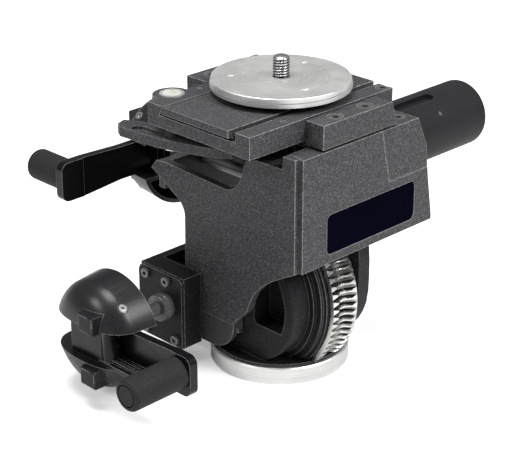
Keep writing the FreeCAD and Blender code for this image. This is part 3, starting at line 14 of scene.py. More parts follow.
import bmesh
import bpy
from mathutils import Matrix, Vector

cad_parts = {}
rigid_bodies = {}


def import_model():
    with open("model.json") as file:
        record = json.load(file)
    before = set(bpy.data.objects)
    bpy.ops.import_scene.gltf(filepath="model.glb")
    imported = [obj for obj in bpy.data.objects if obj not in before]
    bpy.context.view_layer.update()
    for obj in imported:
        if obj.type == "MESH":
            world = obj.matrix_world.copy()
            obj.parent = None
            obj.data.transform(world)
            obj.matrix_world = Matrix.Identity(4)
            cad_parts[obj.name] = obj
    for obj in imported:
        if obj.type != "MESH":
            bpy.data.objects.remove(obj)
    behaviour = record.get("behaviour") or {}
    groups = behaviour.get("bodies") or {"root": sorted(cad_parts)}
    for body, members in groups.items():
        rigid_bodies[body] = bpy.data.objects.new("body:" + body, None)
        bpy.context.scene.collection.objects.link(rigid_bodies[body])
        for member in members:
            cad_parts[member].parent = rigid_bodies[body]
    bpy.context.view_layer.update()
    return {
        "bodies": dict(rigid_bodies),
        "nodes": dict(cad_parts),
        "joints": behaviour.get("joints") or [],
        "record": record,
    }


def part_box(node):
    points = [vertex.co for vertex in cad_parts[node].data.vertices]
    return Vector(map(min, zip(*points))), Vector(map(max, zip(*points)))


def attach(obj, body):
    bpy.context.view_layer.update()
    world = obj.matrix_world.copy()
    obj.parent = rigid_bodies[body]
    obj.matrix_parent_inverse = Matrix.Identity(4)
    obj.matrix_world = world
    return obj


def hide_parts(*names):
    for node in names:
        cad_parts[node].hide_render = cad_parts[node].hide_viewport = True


LOG = logging.getLogger("tripod_head")
MM = 0.001
Colour = tuple[float, float, float]
Place = tuple[float, float, float]
Span = tuple[float, float]


class Grain(Enum):
    """Which way a finish is worked."""

    CAST = "cast"
    TURNED_Z = "turned_z"
    BRUSHED = "brushed"
    MOULDED = "moulded"


class CrankSide(Enum):
    """The two cranks, by the first word of their nodes' names."""

    PAN = "pan"
    SIDE = "side"


@dataclass(frozen=True)
class Finish:
    """One finish of the object, in plain shop terms."""

    name: str
    colour: Colour
    light_colour: Colour
    roughness: float
    roughness_spread: float
    metallic: float
    grain_size: float
    grain_depth: float
    speckle: float
    # The edge colour, amount and width set a painted highlight: a bright band along edges.
    edge_highlight_colour: Colour
    edge_highlight_amount: float
    edge_width: float
    coat: float = 0.0
    specular: float = 0.5
    # How dark the crevices are painted: painted shade.
    painted_crevice_shade: float = 0.0
    grain: Grain = Grain.CAST


# The edge colours below are painted highlights along edges.
CASTING_GREY = Finish(
    name="powder_coat_grey", colour=(0.033, 0.033, 0.035), light_colour=(0.20, 0.20, 0.205),
    roughness=0.5, roughness_spread=0.12, metallic=0.0, specular=0.16,
    grain_size=0.75 * MM, grain_depth=0.10 * MM, speckle=0.50,
    edge_highlight_colour=(0.50, 0.50, 0.50), edge_highlight_amount=0.95, edge_width=0.5 * MM,
)
CASTING_BLACK = Finish(
    name="satin_black_casting", colour=(0.009, 0.009, 0.010), light_colour=(0.055, 0.055, 0.058),
    roughness=0.42, roughness_spread=0.12, metallic=0.0, specular=0.12,
    grain_size=0.7 * MM, grain_depth=0.06 * MM, speckle=0.40,
    edge_highlight_colour=(0.34, 0.34, 0.34), edge_highlight_amount=0.9, edge_width=0.5 * MM,
)
GLOSS_BLACK = Finish(
    name="gloss_black_enamel", colour=(0.004, 0.004, 0.0045), light_colour=(0.010, 0.010, 0.011),
    roughness=0.24, roughness_spread=0.08, metallic=0.0, specular=0.16, coat=0.08,
    grain_size=1.6 * MM, grain_depth=0.012 * MM, speckle=0.25,
    edge_highlight_colour=(0.34, 0.34, 0.34), edge_highlight_amount=0.85, edge_width=0.4 * MM,
)
SHELL_BLACK = Finish(
    name="knob_shell_black", colour=(0.010, 0.010, 0.011), light_colour=(0.034, 0.034, 0.036),
    roughness=0.34, roughness_spread=0.10, metallic=0.0, specular=0.30, coat=0.06,
    grain_size=0.9 * MM, grain_depth=0.03 * MM, speckle=0.35,
    edge_highlight_colour=(0.36, 0.36, 0.36), edge_highlight_amount=0.85, edge_width=0.4 * MM,
)
GRIP_RUBBER = Finish(
    name="soft_grip", colour=(0.018, 0.018, 0.019), light_colour=(0.052, 0.052, 0.054),
    roughness=0.62, roughness_spread=0.12, metallic=0.0, specular=0.10,
    grain_size=0.6 * MM, grain_depth=0.05 * MM, speckle=0.45, grain=Grain.MOULDED,
    edge_highlight_colour=(0.12, 0.12, 0.12), edge_highlight_amount=0.4, edge_width=0.5 * MM,
)
TUBE_FINISH = Finish(
    name="spring_tube_matt", colour=(0.018, 0.017, 0.019), light_colour=(0.027, 0.026, 0.028),
    roughness=0.50, roughness_spread=0.08, metallic=0.0, specular=0.10,
    grain_size=0.8 * MM, grain_depth=0.02 * MM, speckle=0.3, grain=Grain.MOULDED,
    edge_highlight_colour=(0.10, 0.10, 0.10), edge_highlight_amount=0.35, edge_width=0.5 * MM,
)
DISC_ALUMINIUM = Finish(
    name="turned_aluminium", colour=(0.74, 0.74, 0.73), light_colour=(0.93, 0.93, 0.92),
    roughness=0.42, roughness_spread=0.14, metallic=0.85,
    grain_size=0.5 * MM, grain_depth=0.012 * MM, speckle=0.6, grain=Grain.TURNED_Z,
    edge_highlight_colour=(0.95, 0.95, 0.95), edge_highlight_amount=0.5, edge_width=0.3 * MM,
)
# Painted shade darkens this finish's crevices.
GEAR_METAL = Finish(
    name="cut_gear_metal", colour=(0.62, 0.62, 0.60), light_colour=(0.95, 0.95, 0.93),
    roughness=0.26, roughness_spread=0.14, metallic=1.0, painted_crevice_shade=0.9,
    grain_size=0.5 * MM, grain_depth=0.02 * MM, speckle=0.5, grain=Grain.BRUSHED,
    edge_highlight_colour=(0.95, 0.95, 0.94), edge_highlight_amount=0.6, edge_width=0.3 * MM,
)
BRIGHT_STEEL = Finish(
    name="bright_steel", colour=(0.55, 0.55, 0.55), light_colour=(0.80, 0.80, 0.80),
    roughness=0.28, roughness_spread=0.12, metallic=1.0,
    grain_size=0.4 * MM, grain_depth=0.01 * MM, speckle=0.5, grain=Grain.BRUSHED,
    edge_highlight_colour=(0.92, 0.92, 0.92), edge_highlight_amount=0.5, edge_width=0.2 * MM,
)
# Painted shade darkens this finish's crevices.
THREAD_STEEL = Finish(
    name="thread_steel", colour=(0.50, 0.50, 0.50), light_colour=(0.82, 0.82, 0.82),
    roughness=0.30, roughness_spread=0.12, metallic=1.0, painted_crevice_shade=0.95,
    grain_size=0.4 * MM, grain_depth=0.01 * MM, speckle=0.5,
    edge_highlight_colour=(0.95, 0.95, 0.95), edge_highlight_amount=0.7, edge_width=0.15 * MM,
)
BLACK_SCREW = Finish(
    name="blackened_screw", colour=(0.12, 0.12, 0.122), light_colour=(0.30, 0.30, 0.30),
    roughness=0.38, roughness_spread=0.12, metallic=0.6,
    grain_size=0.4 * MM, grain_depth=0.01 * MM, speckle=0.4, grain=Grain.BRUSHED,
    edge_highlight_colour=(0.80, 0.80, 0.80), edge_highlight_amount=0.8, edge_width=0.25 * MM,
)
BRONZE = Finish(
    name="bearing_bronze", colour=(0.42, 0.28, 0.13), light_colour=(0.58, 0.42, 0.22),
    roughness=0.38, roughness_spread=0.1, metallic=1.0,
    grain_size=0.5 * MM, grain_depth=0.01 * MM, speckle=0.5, grain=Grain.BRUSHED,
    edge_highlight_colour=(0.75, 0.6, 0.35), edge_highlight_amount=0.5, edge_width=0.2 * MM,
)
LABEL_GLOSS = Finish(
    name="blank_label_gloss", colour=(0.002, 0.002, 0.006), light_colour=(0.004, 0.004, 0.009),
    roughness=0.35, roughness_spread=0.05, metallic=0.0, specular=0.0,
    grain_size=2.5 * MM, grain_depth=0.004 * MM, speckle=0.2, grain=Grain.MOULDED,
    edge_highlight_colour=(0.03, 0.03, 0.04), edge_highlight_amount=0.3, edge_width=0.3 * MM,
)


class FinishShop:
    """Makes one procedural material for each finish, and the glass of the level."""

    COAT_ROUGHNESS = 0.25
    BUMP_STRENGTH = 0.55
    NOISE_ROUGHNESS = 0.6
    FINE_DETAIL = 3.0
    BLOTCHES_PER_METRE = 45.0
    BLOTCH_DETAIL = 4.0
    BLOTCH_SHADE: Span = (0.86, 1.12)
    SPECKLE_SPAN: Span = (0.49, 0.66)
    LEAST_ROUGHNESS = 0.05
    BRUSHED_SCALE: Place = (0.25, 1.0, 1.0)
    # Painted shade in crevices: its colour, reach, span and samples.
    CREVICE_SHADE_COLOUR: Colour = (0.01, 0.01, 0.01)
    CREVICE_SHADE_REACH = 3.0 * MM
    CREVICE_SHADE_SPAN: Span = (0.92, 0.45)
    CREVICE_SHADE_SAMPLES = 6
    # Painted highlight along edges: its bend span, break-up span and samples.
    HIGHLIGHT_BEND: Span = (0.992, 0.94)
    HIGHLIGHT_BREAK: Span = (0.25, 0.55)
    HIGHLIGHT_SAMPLES = 4
    LENS_ROUGHNESS = 0.08
    LENS_COAT = 0.4
    LENS_CLOUDS_PER_METRE = 260.0
    LENS_DETAIL = 2.0
    LENS_COLOURS: tuple[Colour, Colour] = ((0.30, 0.31, 0.27), (0.62, 0.63, 0.58))

    def __init__(self) -> None:
        """Start with no material made."""
        self._made: dict[str, bpy.types.Material] = {}

    def get(self, finish: Finish) -> bpy.types.Material:
        """Give the material of a finish, made on first use.

        Args:
            finish: The finish wanted.

        Returns:
            The shared material of that finish.
        """
        if finish.name not in self._made:
            self._made[finish.name] = self._build(finish)
        return self._made[finish.name]

    def glass(self) -> bpy.types.Material:
        """Make the greenish fluid and lens of the spirit level.

        Returns:
            A new material.
        """
        material = bpy.data.materials.new("level_lens")
        material.use_nodes = True
        tree = material.node_tree
        shader = tree.nodes["Principled BSDF"]
        shader.inputs["Roughness"].default_value = self.LENS_ROUGHNESS
        shader.inputs["Coat Weight"].default_value = self.LENS_COAT
        coords = tree.nodes.new("ShaderNodeTexCoord")
        clouds = self._noise(tree, coords.outputs["Object"], self.LENS_CLOUDS_PER_METRE, self.LENS_DETAIL)
        colour = self._mix(tree, clouds, *self.LENS_COLOURS)
        tree.links.new(colour, shader.inputs["Base Color"])
        return material

    def _build(self, finish: Finish) -> bpy.types.Material:
        """Build the node tree of a finish.

        Args:
            finish: The finish to build.

        Returns:
            A new material.
        """
        material = bpy.data.materials.new(finish.name)
        material.use_nodes = True
        tree = material.node_tree
        shader = tree.nodes["Principled BSDF"]
        shader.inputs["Metallic"].default_value = finish.metallic
        shader.inputs["Specular IOR Level"].default_value = finish.specular
        shader.inputs["Coat Weight"].default_value = finish.coat
        shader.inputs["Coat Roughness"].default_value = self.COAT_ROUGHNESS
        coords = tree.nodes.new("ShaderNodeTexCoord")
        worked = self._worked_coords(tree, coords, finish.grain)
        fine = self._noise(tree, worked, 1.0 / finish.grain_size, self.FINE_DETAIL)
        broad = self._noise(tree, coords.outputs["Object"], self.BLOTCHES_PER_METRE, self.BLOTCH_DETAIL)
        tree.links.new(self._colour(tree, finish, fine, broad), shader.inputs["Base Color"])
        ends = (
            max(self.LEAST_ROUGHNESS, finish.roughness - finish.roughness_spread),
            min(1.0, finish.roughness + finish.roughness_spread),
        )
        tree.links.new(self._map(tree, broad, (0.0, 1.0), ends), shader.inputs["Roughness"])
        bump = tree.nodes.new("ShaderNodeBump")
        bump.inputs["Strength"].default_value = self.BUMP_STRENGTH
        bump.inputs["Distance"].default_value = finish.grain_depth
        tree.links.new(fine, bump.inputs["Height"])
        tree.links.new(bump.outputs["Normal"], shader.inputs["Normal"])
        return material

    def _colour(
        self,
        tree: bpy.types.NodeTree,
        finish: Finish,
        fine: bpy.types.NodeSocket,
        broad: bpy.types.NodeSocket,
    ) -> bpy.types.NodeSocket:
        """Colour a finish with its speckle, blotches, painted edge highlights and painted shade in crevices.

        Args:
            tree: The node tree.
            finish: The finish.
            fine: The fine noise, which is the grain.
            broad: The broad noise, which is the blotches.

        Returns:
            The colour socket.
        """
        speckle = self._map(tree, fine, self.SPECKLE_SPAN, (0.0, finish.speckle))
        toned = tree.nodes.new("ShaderNodeVectorMath")
        toned.operation = "SCALE"
        tree.links.new(self._mix(tree, speckle, finish.colour, finish.light_colour), toned.inputs[0])
        tree.links.new(self._map(tree, broad, (0.0, 1.0), self.BLOTCH_SHADE), toned.inputs["Scale"])
        # Painted highlight: a bright band along edges.
        bright_edges = self._edge_highlight_mask(tree, finish, fine)
        colour = self._mix(tree, bright_edges, toned.outputs["Vector"], finish.edge_highlight_colour)
        # Painted shade: the crevices are darkened by an ambient occlusion mask.
        if finish.painted_crevice_shade > 0.0:
            colour = self._mix(tree, self._crevice_shade_mask(tree, finish.painted_crevice_shade), colour, self.CREVICE_SHADE_COLOUR)
        return colour

    def _crevice_shade_mask(self, tree: bpy.types.NodeTree, painted_crevice_shade: float) -> bpy.types.NodeSocket:
        """Mask the crevices, where the colour is darkened as painted shade.

        Args:
            tree: The node tree.
            painted_crevice_shade: How much painted shade the deepest crevice gets.

        Returns:
            The mask socket.
        """
        hollow = tree.nodes.new("ShaderNodeAmbientOcclusion")
        hollow.samples = self.CREVICE_SHADE_SAMPLES
        hollow.inputs["Distance"].default_value = self.CREVICE_SHADE_REACH
        return self._map(tree, hollow.outputs["AO"], self.CREVICE_SHADE_SPAN, (0.0, painted_crevice_shade))

    def _edge_highlight_mask(
        self, tree: bpy.types.NodeTree, finish: Finish, fine: bpy.types.NodeSocket
    ) -> bpy.types.NodeSocket:
        """Mask the narrow band along edges where a painted highlight brightens the colour.

        Args:
            tree: The node tree.
            finish: The finish whose edges get the painted highlight.
            fine: The fine noise that breaks the band up.

        Returns:
            The mask socket.
        """
        bevel = tree.nodes.new("ShaderNodeBevel")
        bevel.samples = self.HIGHLIGHT_SAMPLES
        bevel.inputs["Radius"].default_value = finish.edge_width
        geometry = tree.nodes.new("ShaderNodeNewGeometry")
        bend = tree.nodes.new("ShaderNodeVectorMath")
        bend.operation = "DOT_PRODUCT"
        tree.links.new(bevel.outputs["Normal"], bend.inputs[0])
        tree.links.new(geometry.outputs["Normal"], bend.inputs[1])
        band = self._map(tree, bend.outputs["Value"], self.HIGHLIGHT_BEND, (0.0, finish.edge_highlight_amount))
        broken = tree.nodes.new("ShaderNodeMath")
        broken.operation = "MULTIPLY"
        tree.links.new(band, broken.inputs[0])
        tree.links.new(self._map(tree, fine, self.HIGHLIGHT_BREAK, (0.0, 1.0)), broken.inputs[1])
        return broken.outputs["Value"]

    def _worked_coords(
        self, tree: bpy.types.NodeTree, coords: bpy.types.Node, grain: Grain
    ) -> bpy.types.NodeSocket:
        """Give coordinates that follow the tool marks.

        Args:
            tree: The node tree.
            coords: Its texture coordinate node.
            grain: The way the surface is worked.

        Returns:
            The vector socket to sample the fine grain with.
        """
        if grain is Grain.BRUSHED:
            stretch = tree.nodes.new("ShaderNodeMapping")
            stretch.inputs["Scale"].default_value = self.BRUSHED_SCALE
            tree.links.new(coords.outputs["Object"], stretch.inputs["Vector"])
            return stretch.outputs["Vector"]
        if grain is Grain.TURNED_Z:
            parts = tree.nodes.new("ShaderNodeSeparateXYZ")
            tree.links.new(coords.outputs["Object"], parts.inputs["Vector"])
            flat = tree.nodes.new("ShaderNodeCombineXYZ")
            tree.links.new(parts.outputs["X"], flat.inputs["X"])
            tree.links.new(parts.outputs["Y"], flat.inputs["Y"])
            radius = tree.nodes.new("ShaderNodeVectorMath")
            radius.operation = "LENGTH"
            tree.links.new(flat.outputs["Vector"], radius.inputs[0])
            rings = tree.nodes.new("ShaderNodeCombineXYZ")
            tree.links.new(radius.outputs["Value"], rings.inputs["X"])
            tree.links.new(parts.outputs["Z"], rings.inputs["Z"])
            return rings.outputs["Vector"]
        return coords.outputs["Object"]

    def _noise(
        self, tree: bpy.types.NodeTree, vector: bpy.types.NodeSocket, scale: float, detail: float
    ) -> bpy.types.NodeSocket:
        """Add a noise texture.

        Args:
            tree: The node tree.
            vector: The coordinates to sample.
            scale: Features per metre.
            detail: Octaves of detail.

        Returns:
            The noise's value socket.
        """
        noise = tree.nodes.new("ShaderNodeTexNoise")
        noise.inputs["Scale"].default_value = scale
        noise.inputs["Detail"].default_value = detail
        noise.inputs["Roughness"].default_value = self.NOISE_ROUGHNESS
        tree.links.new(vector, noise.inputs["Vector"])
        return noise.outputs["Fac"]

    @staticmethod
    def _map(
        tree: bpy.types.NodeTree, value: bpy.types.NodeSocket, source: Span, target: Span
    ) -> bpy.types.NodeSocket:
        """Map a value from one span onto another, and hold it at the ends.

        Args:
            tree: The node tree.
            value: The value to map.
            source: The span it comes from.
            target: The span it goes to.

        Returns:
            The mapped value's socket.
        """
        node = tree.nodes.new("ShaderNodeMapRange")
        node.inputs["From Min"].default_value, node.inputs["From Max"].default_value = source
        node.inputs["To Min"].default_value, node.inputs["To Max"].default_value = target
        tree.links.new(value, node.inputs["Value"])
        return node.outputs["Result"]

    @staticmethod
    def _mix(
        tree: bpy.types.NodeTree,
        factor: bpy.types.NodeSocket,
        low: Colour | bpy.types.NodeSocket,
        high: Colour,
    ) -> bpy.types.NodeSocket:
        """Mix two colours by a factor.

        Args:
            tree: The node tree.
            factor: The factor socket.
            low: Colour at 0, plain or from a socket.
            high: Colour at 1.

        Returns:
            The colour socket.
        """
        mix = tree.nodes.new("ShaderNodeMix")
        mix.data_type = "RGBA"
        factor_input, low_input, high_input = mix.inputs[0], mix.inputs[6], mix.inputs[7]
        tree.links.new(factor, factor_input)
        if isinstance(low, tuple):
            low_input.default_value = (*low, 1.0)
        else:
            tree.links.new(low, low_input)
        high_input.default_value = (*high, 1.0)
        return mix.outputs[2]


@dataclass(frozen=True)
class Rounding:
    """Which edges of a piece are rounded and which are shaded sharp, in degrees."""

    rounded_above: float
    sharp_above: float
    segments: int = 2


CAST_EDGES = Rounding(rounded_above=32.0, sharp_above=32.0)
SHELL_EDGES = Rounding(rounded_above=38.0, sharp_above=14.0)


class HeadDresser:
    """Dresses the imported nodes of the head, and lets new meshes stand for them."""

    MERGE_DISTANCE = 0.002 * MM
    FLAT_ANGLE = math.radians(0.6)

    def __init__(self, frame: dict[str, Any]) -> None:
        """Read the nodes, their bodies and their material slots.

        Args:
            frame: The loaded frame.
        """
        record = frame["record"]
        self.nodes: dict[str, bpy.types.Object] = frame["nodes"]
        self.shop = FinishShop()
        self.bodies = {n: b for b, names in record["behaviour"]["bodies"].items() for n in names}
        self.slots = {entry["node"]: entry["material_slot"] for entry in record["subparts"]}

    def finish(self, finish: Finish, *nodes: str) -> None:
        """Give kept nodes their material.

        Args:
            finish: The finish they get.
            nodes: The nodes' names.
        """
        for node in nodes:
            self.paint(node, self.shop.get(finish))

    def paint(self, node: str, material: bpy.types.Material) -> None:
        """Put one material on all slots of a kept node.

        Args:
            node: The node's name.
            material: The material.
        """
        piece = self.nodes[node]
        if not piece.material_slots:
            piece.data.materials.append(material)
        for slot in piece.material_slots:
            slot.material = material
        LOG.info("%s kept, in %s", node, material.name)

    def soften(self, node: str, finish: Finish, width: float, rounding: Rounding = CAST_EDGES) -> None:
        """Stand a copy with rounded edges in for a node.

        Args:
            node: The node's name.
            finish: Its finish.
            width: Width of the rounded edge.
            rounding: Which edges are rounded.
        """
        work = bmesh.new()
        work.from_mesh(self.nodes[node].data)
        bmesh.ops.remove_doubles(work, verts=work.verts, dist=self.MERGE_DISTANCE)
        bmesh.ops.dissolve_limit(
            work, angle_limit=self.FLAT_ANGLE, verts=work.verts, edges=work.edges, delimit={"NORMAL"}
        )
        piece = self.new_piece(f"{node}_soft", work, rounding.sharp_above)
        bevel = piece.modifiers.new("rounded_edges", "BEVEL")
        bevel.width = width
        bevel.segments = rounding.segments
        bevel.limit_method = "ANGLE"
        bevel.angle_limit = math.radians(rounding.rounded_above)
        bevel.use_clamp_overlap = True
        bevel.harden_normals = True
        self.adopt(piece, node, self.shop.get(finish))

    @staticmethod
    def new_piece(name: str, work: bmesh.types.BMesh, sharp_above: float) -> bpy.types.Object:
        """Turn a finished bmesh into a smooth-shaded object.

        Args:
            name: Name of the object and of its mesh.
            work: The bmesh, which is freed.
            sharp_above: Edges that bend more than this many degrees stay sharp.

        Returns:
            The new object.
        """
        bmesh.ops.recalc_face_normals(work, faces=work.faces)
        mesh = bpy.data.meshes.new(name)
        work.to_mesh(mesh)
        work.free()
        for polygon in mesh.polygons:
            polygon.use_smooth = True
        mesh.set_sharp_from_angle(angle=math.radians(sharp_above))
        piece = bpy.data.objects.new(name, mesh)
        bpy.context.scene.collection.objects.link(piece)
        return piece

    def adopt(self, piece: bpy.types.Object, node: str, material: bpy.types.Material) -> None:
        """Let a new mesh stand for a node and ride on its body.

        Args:
            piece: The new mesh object.
            node: The node it stands for.
            material: Its material.
        """
        piece.data.materials.clear()
        piece.data.materials.append(material)
        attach(piece, self.bodies[node])
        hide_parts(node)
        LOG.info("%s stands for %s, in %s", piece.name, node, material.name)


@dataclass(frozen=True)
class SubAssembly:
    """A sub-assembly of the head, dressed by one dresser."""

    dresser: HeadDresser

    def build(self) -> None:
        """Dress the sub-assembly's nodes, which each sub-assembly does in its own way."""
        raise NotImplementedError


@dataclass(frozen=True)
class TripodBase(SubAssembly):
    """The bright ring and dark disc that stand on the tripod, and the pan spindle."""

    disc_edge: float = 0.3 * MM

    def build(self) -> None:
        """Dress the base."""
        self.dresser.soften("base_disc", CASTING_BLACK, self.disc_edge)
        self.dresser.finish(DISC_ALUMINIUM, "base_ring")
        self.dresser.finish(BRIGHT_STEEL, "thread_insert", "pan_spindle", "spindle_nut")


@dataclass(frozen=True)
class Turret(SubAssembly):
    """The panning drum with its toothed wheel and the pan gearbox."""

    body_edge: float = 0.5 * MM
    ring_edge: float = 0.4 * MM
    tooth_edge: float = 0.12 * MM
    gearbox_edge: float = 0.6 * MM
    cover_edge: float = 0.4 * MM
    collar_edge: float = 0.3 * MM

    def build(self) -> None:
        """Dress the turret."""
        self.dresser.soften("turret_body", CASTING_BLACK, self.body_edge)
        self.dresser.soften("side_rings", CASTING_BLACK, self.ring_edge)
        self.dresser.soften("tilt_wheel", GEAR_METAL, self.tooth_edge)
        self.dresser.soften("pan_gearbox", CASTING_BLACK, self.gearbox_edge)
        self.dresser.soften("pan_gearbox_cover", CASTING_BLACK, self.cover_edge)
        self.dresser.soften("pan_collar", BLACK_SCREW, self.collar_edge)
        self.dresser.finish(BRIGHT_STEEL, "tilt_axle")
        self.dresser.finish(BLACK_SCREW, "pan_cover_screws")


@dataclass(frozen=True)
class TiltingHousing(SubAssembly):
    """The side plate, the label casting with its spring tube, and the bearing cheek."""

    plate_edge: float = 0.5 * MM
    casting_edge: float = 0.6 * MM
    cheek_edge: float = 1.0 * MM
    label_edge: float = 0.2 * MM

    def build(self) -> None:
        """Dress the housing."""
        self.dresser.soften("left_side_plate", CASTING_GREY, self.plate_edge)
        self.dresser.soften("label_housing", CASTING_GREY, self.casting_edge)
        self.dresser.soften("rear_block", CASTING_GREY, self.casting_edge)
        self.dresser.soften("right_cheek", CASTING_BLACK, self.cheek_edge)
        self.dresser.soften("label_panel", LABEL_GLOSS, self.label_edge)
        self.dresser.finish(TUBE_FINISH, "spring_tube")
        self.dresser.finish(CASTING_BLACK, "tube_sleeve")
        self.dresser.finish(BRIGHT_STEEL, "tilt_pointer", "hinge_axle", "tube_screw")
        self.dresser.finish(BLACK_SCREW, "rear_block_screw")
        self.dresser.finish(BRONZE, "tilt_bushings", "worm_bearings")


@dataclass(frozen=True)
class FrontPlatform(SubAssembly):
    """The hinged receiver with its blocks, the spirit level and the lock lever."""

    receiver_edge: float = 0.45 * MM
    block_edge: float = 0.5 * MM
    bracket_edge: float = 0.4 * MM
    lever_edge: float = 0.6 * MM

    def build(self) -> None:
        """Dress the platform."""
        self.dresser.soften("receiver", CASTING_GREY, self.receiver_edge)
        self.dresser.soften("clamp_block", CASTING_GREY, self.block_edge)
        self.dresser.soften("side_block", CASTING_GREY, self.block_edge)
        self.dresser.soften("hinge_bracket", CASTING_BLACK, self.bracket_edge)
        self.dresser.soften("lock_lever", CASTING_GREY, self.lever_edge)
        self.dresser.finish(BLACK_SCREW, "receiver_screws", "platform_screws")
        self.dresser.finish(BRIGHT_STEEL, "receiver_pins", "lever_screw")
        self.dresser.finish(DISC_ALUMINIUM, "level_body")
        self.dresser.paint("level_glass", self.dresser.shop.glass())


@dataclass(frozen=True)
class CameraPlate(SubAssembly):
    """The sliding plate, its disc, and the camera screw with a true helical thread."""

    plate_edge: float = 0.4 * MM
    pad_edge: float = 0.4 * MM
    pitch: float = 25.4 * MM / 16.0
    crest_radius: float = 4.76 * MM
    root_radius: float = 3.95 * MM
    crest_flat: float = 1.25
    head_radius: float = 8.0 * MM
    head_height: float = 3.0 * MM
    tip_height: float = 1.0 * MM
    tip_step: float = 0.35 * MM
    tip_slope: float = 1.1
    first_turn_gap: float = 0.3 * MM
    shank_above_disc: float = 0.1 * MM
    ring_points: int = 48
    thread_rings: int = 96
    sharp_above: float = 35.0

    def build(self) -> None:
        """Dress the plate and build the camera screw."""
        self.dresser.soften("camera_plate", CASTING_GREY, self.plate_edge)
        self.dresser.soften("camera_pad", GRIP_RUBBER, self.pad_edge)
        self.dresser.finish(DISC_ALUMINIUM, "camera_disc")
        self.build_screw()

    def build_screw(self) -> None:
        """Build the camera screw in place of its node."""
        low_corner, high_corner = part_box("camera_screw")
        base, top = low_corner[2], high_corner[2]
        shoulder = base + self.head_height
        disc_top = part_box("camera_disc")[1][2]
        start = disc_top + self.first_turn_gap
        shank = disc_top + self.shank_above_disc
        work = bmesh.new()
        rings = [
            self._ring(work, [self.head_radius] * self.ring_points, base),
            self._ring(work, [self.head_radius] * self.ring_points, shoulder),
            self._ring(work, [self.crest_radius] * self.ring_points, shoulder),
        ]
        for i in range(self.thread_rings + 1):
            height = shank + (top - shank) * i / self.thread_rings
            turns = [j / self.ring_points for j in range(self.ring_points)]
            radii = [self.radius_at(turn, height, start, top) for turn in turns]
            rings.append(self._ring(work, radii, height))
        for below, above in zip(rings, rings[1:]):
            for j in range(self.ring_points):
                k = (j + 1) % self.ring_points
                work.faces.new((below[j], below[k], above[k], above[j]))
        work.faces.new(list(reversed(rings[0])))
        work.faces.new(rings[-1])
        piece = self.dresser.new_piece("camera_screw_thread", work, self.sharp_above)
        self.dresser.adopt(piece, "camera_screw", self.dresser.shop.get(THREAD_STEEL))

    def radius_at(self, turn: float, height: float, low: float, high: float) -> float:
        """Give the thread's radius at a place.

        Args:
            turn: Part of a turn round the axis.
            height: Height of the point.
            low: Where the thread starts.
            high: Top of the screw.

        Returns:
            The radius there.
        """
        if height < low:
            return self.crest_radius
        phase = ((height - low) / self.pitch - turn) % 1.0
        wave = abs(2.0 * phase - 1.0)
        radius = self.root_radius + (self.crest_radius - self.root_radius) * min(1.0, self.crest_flat * wave)
        room = high - height
        if room < self.tip_height:
            radius = min(radius, self.root_radius - self.tip_step + room * self.tip_slope)
        return radius

    @staticmethod
    def _ring(work: bmesh.types.BMesh, radii: list[float], height: float) -> list[bmesh.types.BMVert]:
        """Add one ring of points round the screw's axis.

        Args:
            work: The mesh being built.
            radii: The radius of each point, in order round the axis.
            height: The ring's height.

        Returns:
            The points.
        """
        ring = []
        for j, radius in enumerate(radii):
            angle = 2 * math.pi * j / len(radii)
            ring.append(work.verts.new((radius * math.cos(angle), radius * math.sin(angle), height)))
        return ring


@dataclass(frozen=True)
class Crank(SubAssembly):
    """One crank: a split knob, a cranked arm, a turning grip and two buttons."""

    side: CrankSide = CrankSide.PAN
    arm_edge: float = 0.5 * MM
    button_edge: float = 0.7 * MM
    shell_edge: float = 0.5 * MM

    def build(self) -> None:
        """Dress the crank."""
        name = self.side.value
        self.dresser.soften(f"{name}_crank_arm", GLOSS_BLACK, self.arm_edge)
        for half in ("upper", "lower"):
            self.dresser.soften(f"{name}_button_{half}", CASTING_BLACK, self.button_edge)
            self.dresser.soften(f"{name}_shell_{half}", SHELL_BLACK, self.shell_edge, SHELL_EDGES)
        self.dresser.finish(BLACK_SCREW, f"{name}_crank_shaft")
        self.dresser.finish(BRIGHT_STEEL, f"{name}_shell_screws", f"{name}_grip_pin")
        self.dresser.finish(GRIP_RUBBER, f"{name}_grip")


@dataclass(frozen=True)
class Lamp:
    """One soft square lamp, with its side in metres and its power in watts."""

    name: str
    place: Place
    side: float
    power: float


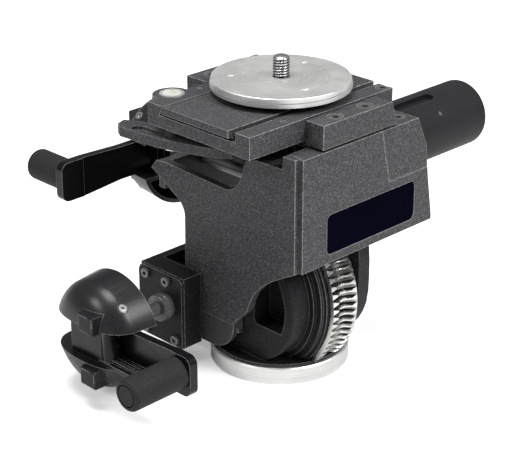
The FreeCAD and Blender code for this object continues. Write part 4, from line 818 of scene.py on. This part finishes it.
@dataclass(frozen=True)
class Studio:
    """Camera, floor and lights at the photograph's angle."""

    camera_place: Place = (-0.6181, -0.6046, 0.4650)
    camera_target: Place = (-0.00873, 0.00868, 0.07782)
    lens: float = 113.42
    sensor: float = 36.0
    near: float = 0.01
    far: float = 20.0
    surround_strength: float = 0.26
    seen_surround_strength: float = 1.0
    floor_half: float = 4.0
    floor_shade: float = 0.93
    floor_roughness: float = 0.9
    floor_specular: float = 0.1
    seen_floor_glow: float = 0.30
    lamp_target: Place = (0.0, 0.0, 0.09)
    lamps: tuple[Lamp, ...] = (
        Lamp("key_lamp", (0.35, -1.15, 1.20), 0.6, 23.0),
        Lamp("top_lamp", (-0.15, 0.10, 1.35), 0.6, 15.0),
        Lamp("side_lamp", (-1.15, 0.45, 1.05), 0.4, 7.0),
    )

    def build(self) -> None:
        """Set up the whole studio."""
        bpy.context.scene.view_settings.view_transform = "Standard"
        self.camera()
        self.world()
        self.floor()
        for lamp in self.lamps:
            self.light(lamp)

    @staticmethod
    def aim(thing: bpy.types.Object, place: Place, target: Place) -> None:
        """Stand a camera or lamp at a place and turn it towards a target.

        Args:
            thing: The camera or lamp.
            place: Where it stands.
            target: What it looks at.
        """
        thing.location = place
        look = Vector(target) - Vector(place)
        thing.rotation_euler = look.to_track_quat("-Z", "Y").to_euler()

    def camera(self) -> None:
        """Place the camera."""
        data = bpy.data.cameras.new("view")
        data.lens = self.lens
        data.sensor_width = self.sensor
        data.clip_start = self.near
        data.clip_end = self.far
        camera = bpy.data.objects.new("view", data)
        bpy.context.scene.collection.objects.link(camera)
        self.aim(camera, self.camera_place, self.camera_target)
        bpy.context.scene.camera = camera

    def light(self, lamp: Lamp) -> None:
        """Add one lamp aimed at the head.

        Args:
            lamp: The lamp.
        """
        data = bpy.data.lights.new(lamp.name, "AREA")
        data.size = lamp.side
        data.energy = lamp.power
        light = bpy.data.objects.new(lamp.name, data)
        bpy.context.scene.collection.objects.link(light)
        self.aim(light, lamp.place, self.lamp_target)

    def world(self) -> None:
        """Set an even pale surround that looks white to the camera."""
        world = bpy.data.worlds.new("surround")
        bpy.context.scene.world = world
        world.use_nodes = True
        tree = world.node_tree
        background = tree.nodes["Background"]
        background.inputs["Color"].default_value = (1.0, 1.0, 1.0, 1.0)
        path = tree.nodes.new("ShaderNodeLightPath")
        strength = tree.nodes.new("ShaderNodeMapRange")
        strength.inputs["To Min"].default_value = self.surround_strength
        strength.inputs["To Max"].default_value = self.seen_surround_strength
        tree.links.new(path.outputs["Is Camera Ray"], strength.inputs["Value"])
        tree.links.new(strength.outputs["Result"], background.inputs["Strength"])

    def floor(self) -> None:
        """Lay the pale floor, which glows for the camera alone."""
        work = bmesh.new()
        bmesh.ops.create_grid(work, x_segments=1, y_segments=1, size=self.floor_half)
        mesh = bpy.data.meshes.new("floor")
        work.to_mesh(mesh)
        work.free()
        floor = bpy.data.objects.new("floor", mesh)
        bpy.context.scene.collection.objects.link(floor)
        material = bpy.data.materials.new("pale_floor")
        material.use_nodes = True
        tree = material.node_tree
        shader = tree.nodes["Principled BSDF"]
        shader.inputs["Base Color"].default_value = (*[self.floor_shade] * 3, 1.0)
        shader.inputs["Roughness"].default_value = self.floor_roughness
        shader.inputs["Specular IOR Level"].default_value = self.floor_specular
        shader.inputs["Emission Color"].default_value = (1.0, 1.0, 1.0, 1.0)
        path = tree.nodes.new("ShaderNodeLightPath")
        glow = tree.nodes.new("ShaderNodeMath")
        glow.operation = "MULTIPLY"
        glow.inputs[1].default_value = self.seen_floor_glow
        tree.links.new(path.outputs["Is Camera Ray"], glow.inputs[0])
        tree.links.new(glow.outputs["Value"], shader.inputs["Emission Strength"])
        mesh.materials.append(material)


def main() -> None:
    """Load the frame, dress every sub-assembly and set up the studio."""
    logging.basicConfig(level=logging.INFO)
    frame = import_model()
    dresser = HeadDresser(frame)
    sub_assemblies: list[SubAssembly] = [
        TripodBase(dresser), Turret(dresser), TiltingHousing(dresser), FrontPlatform(dresser),
        CameraPlate(dresser), Crank(dresser, CrankSide.PAN), Crank(dresser, CrankSide.SIDE),
    ]
    for sub_assembly in sub_assemblies:
        sub_assembly.build()
    Studio().build()
    bpy.context.view_layer.update()


if __name__ == "__main__":
    main()
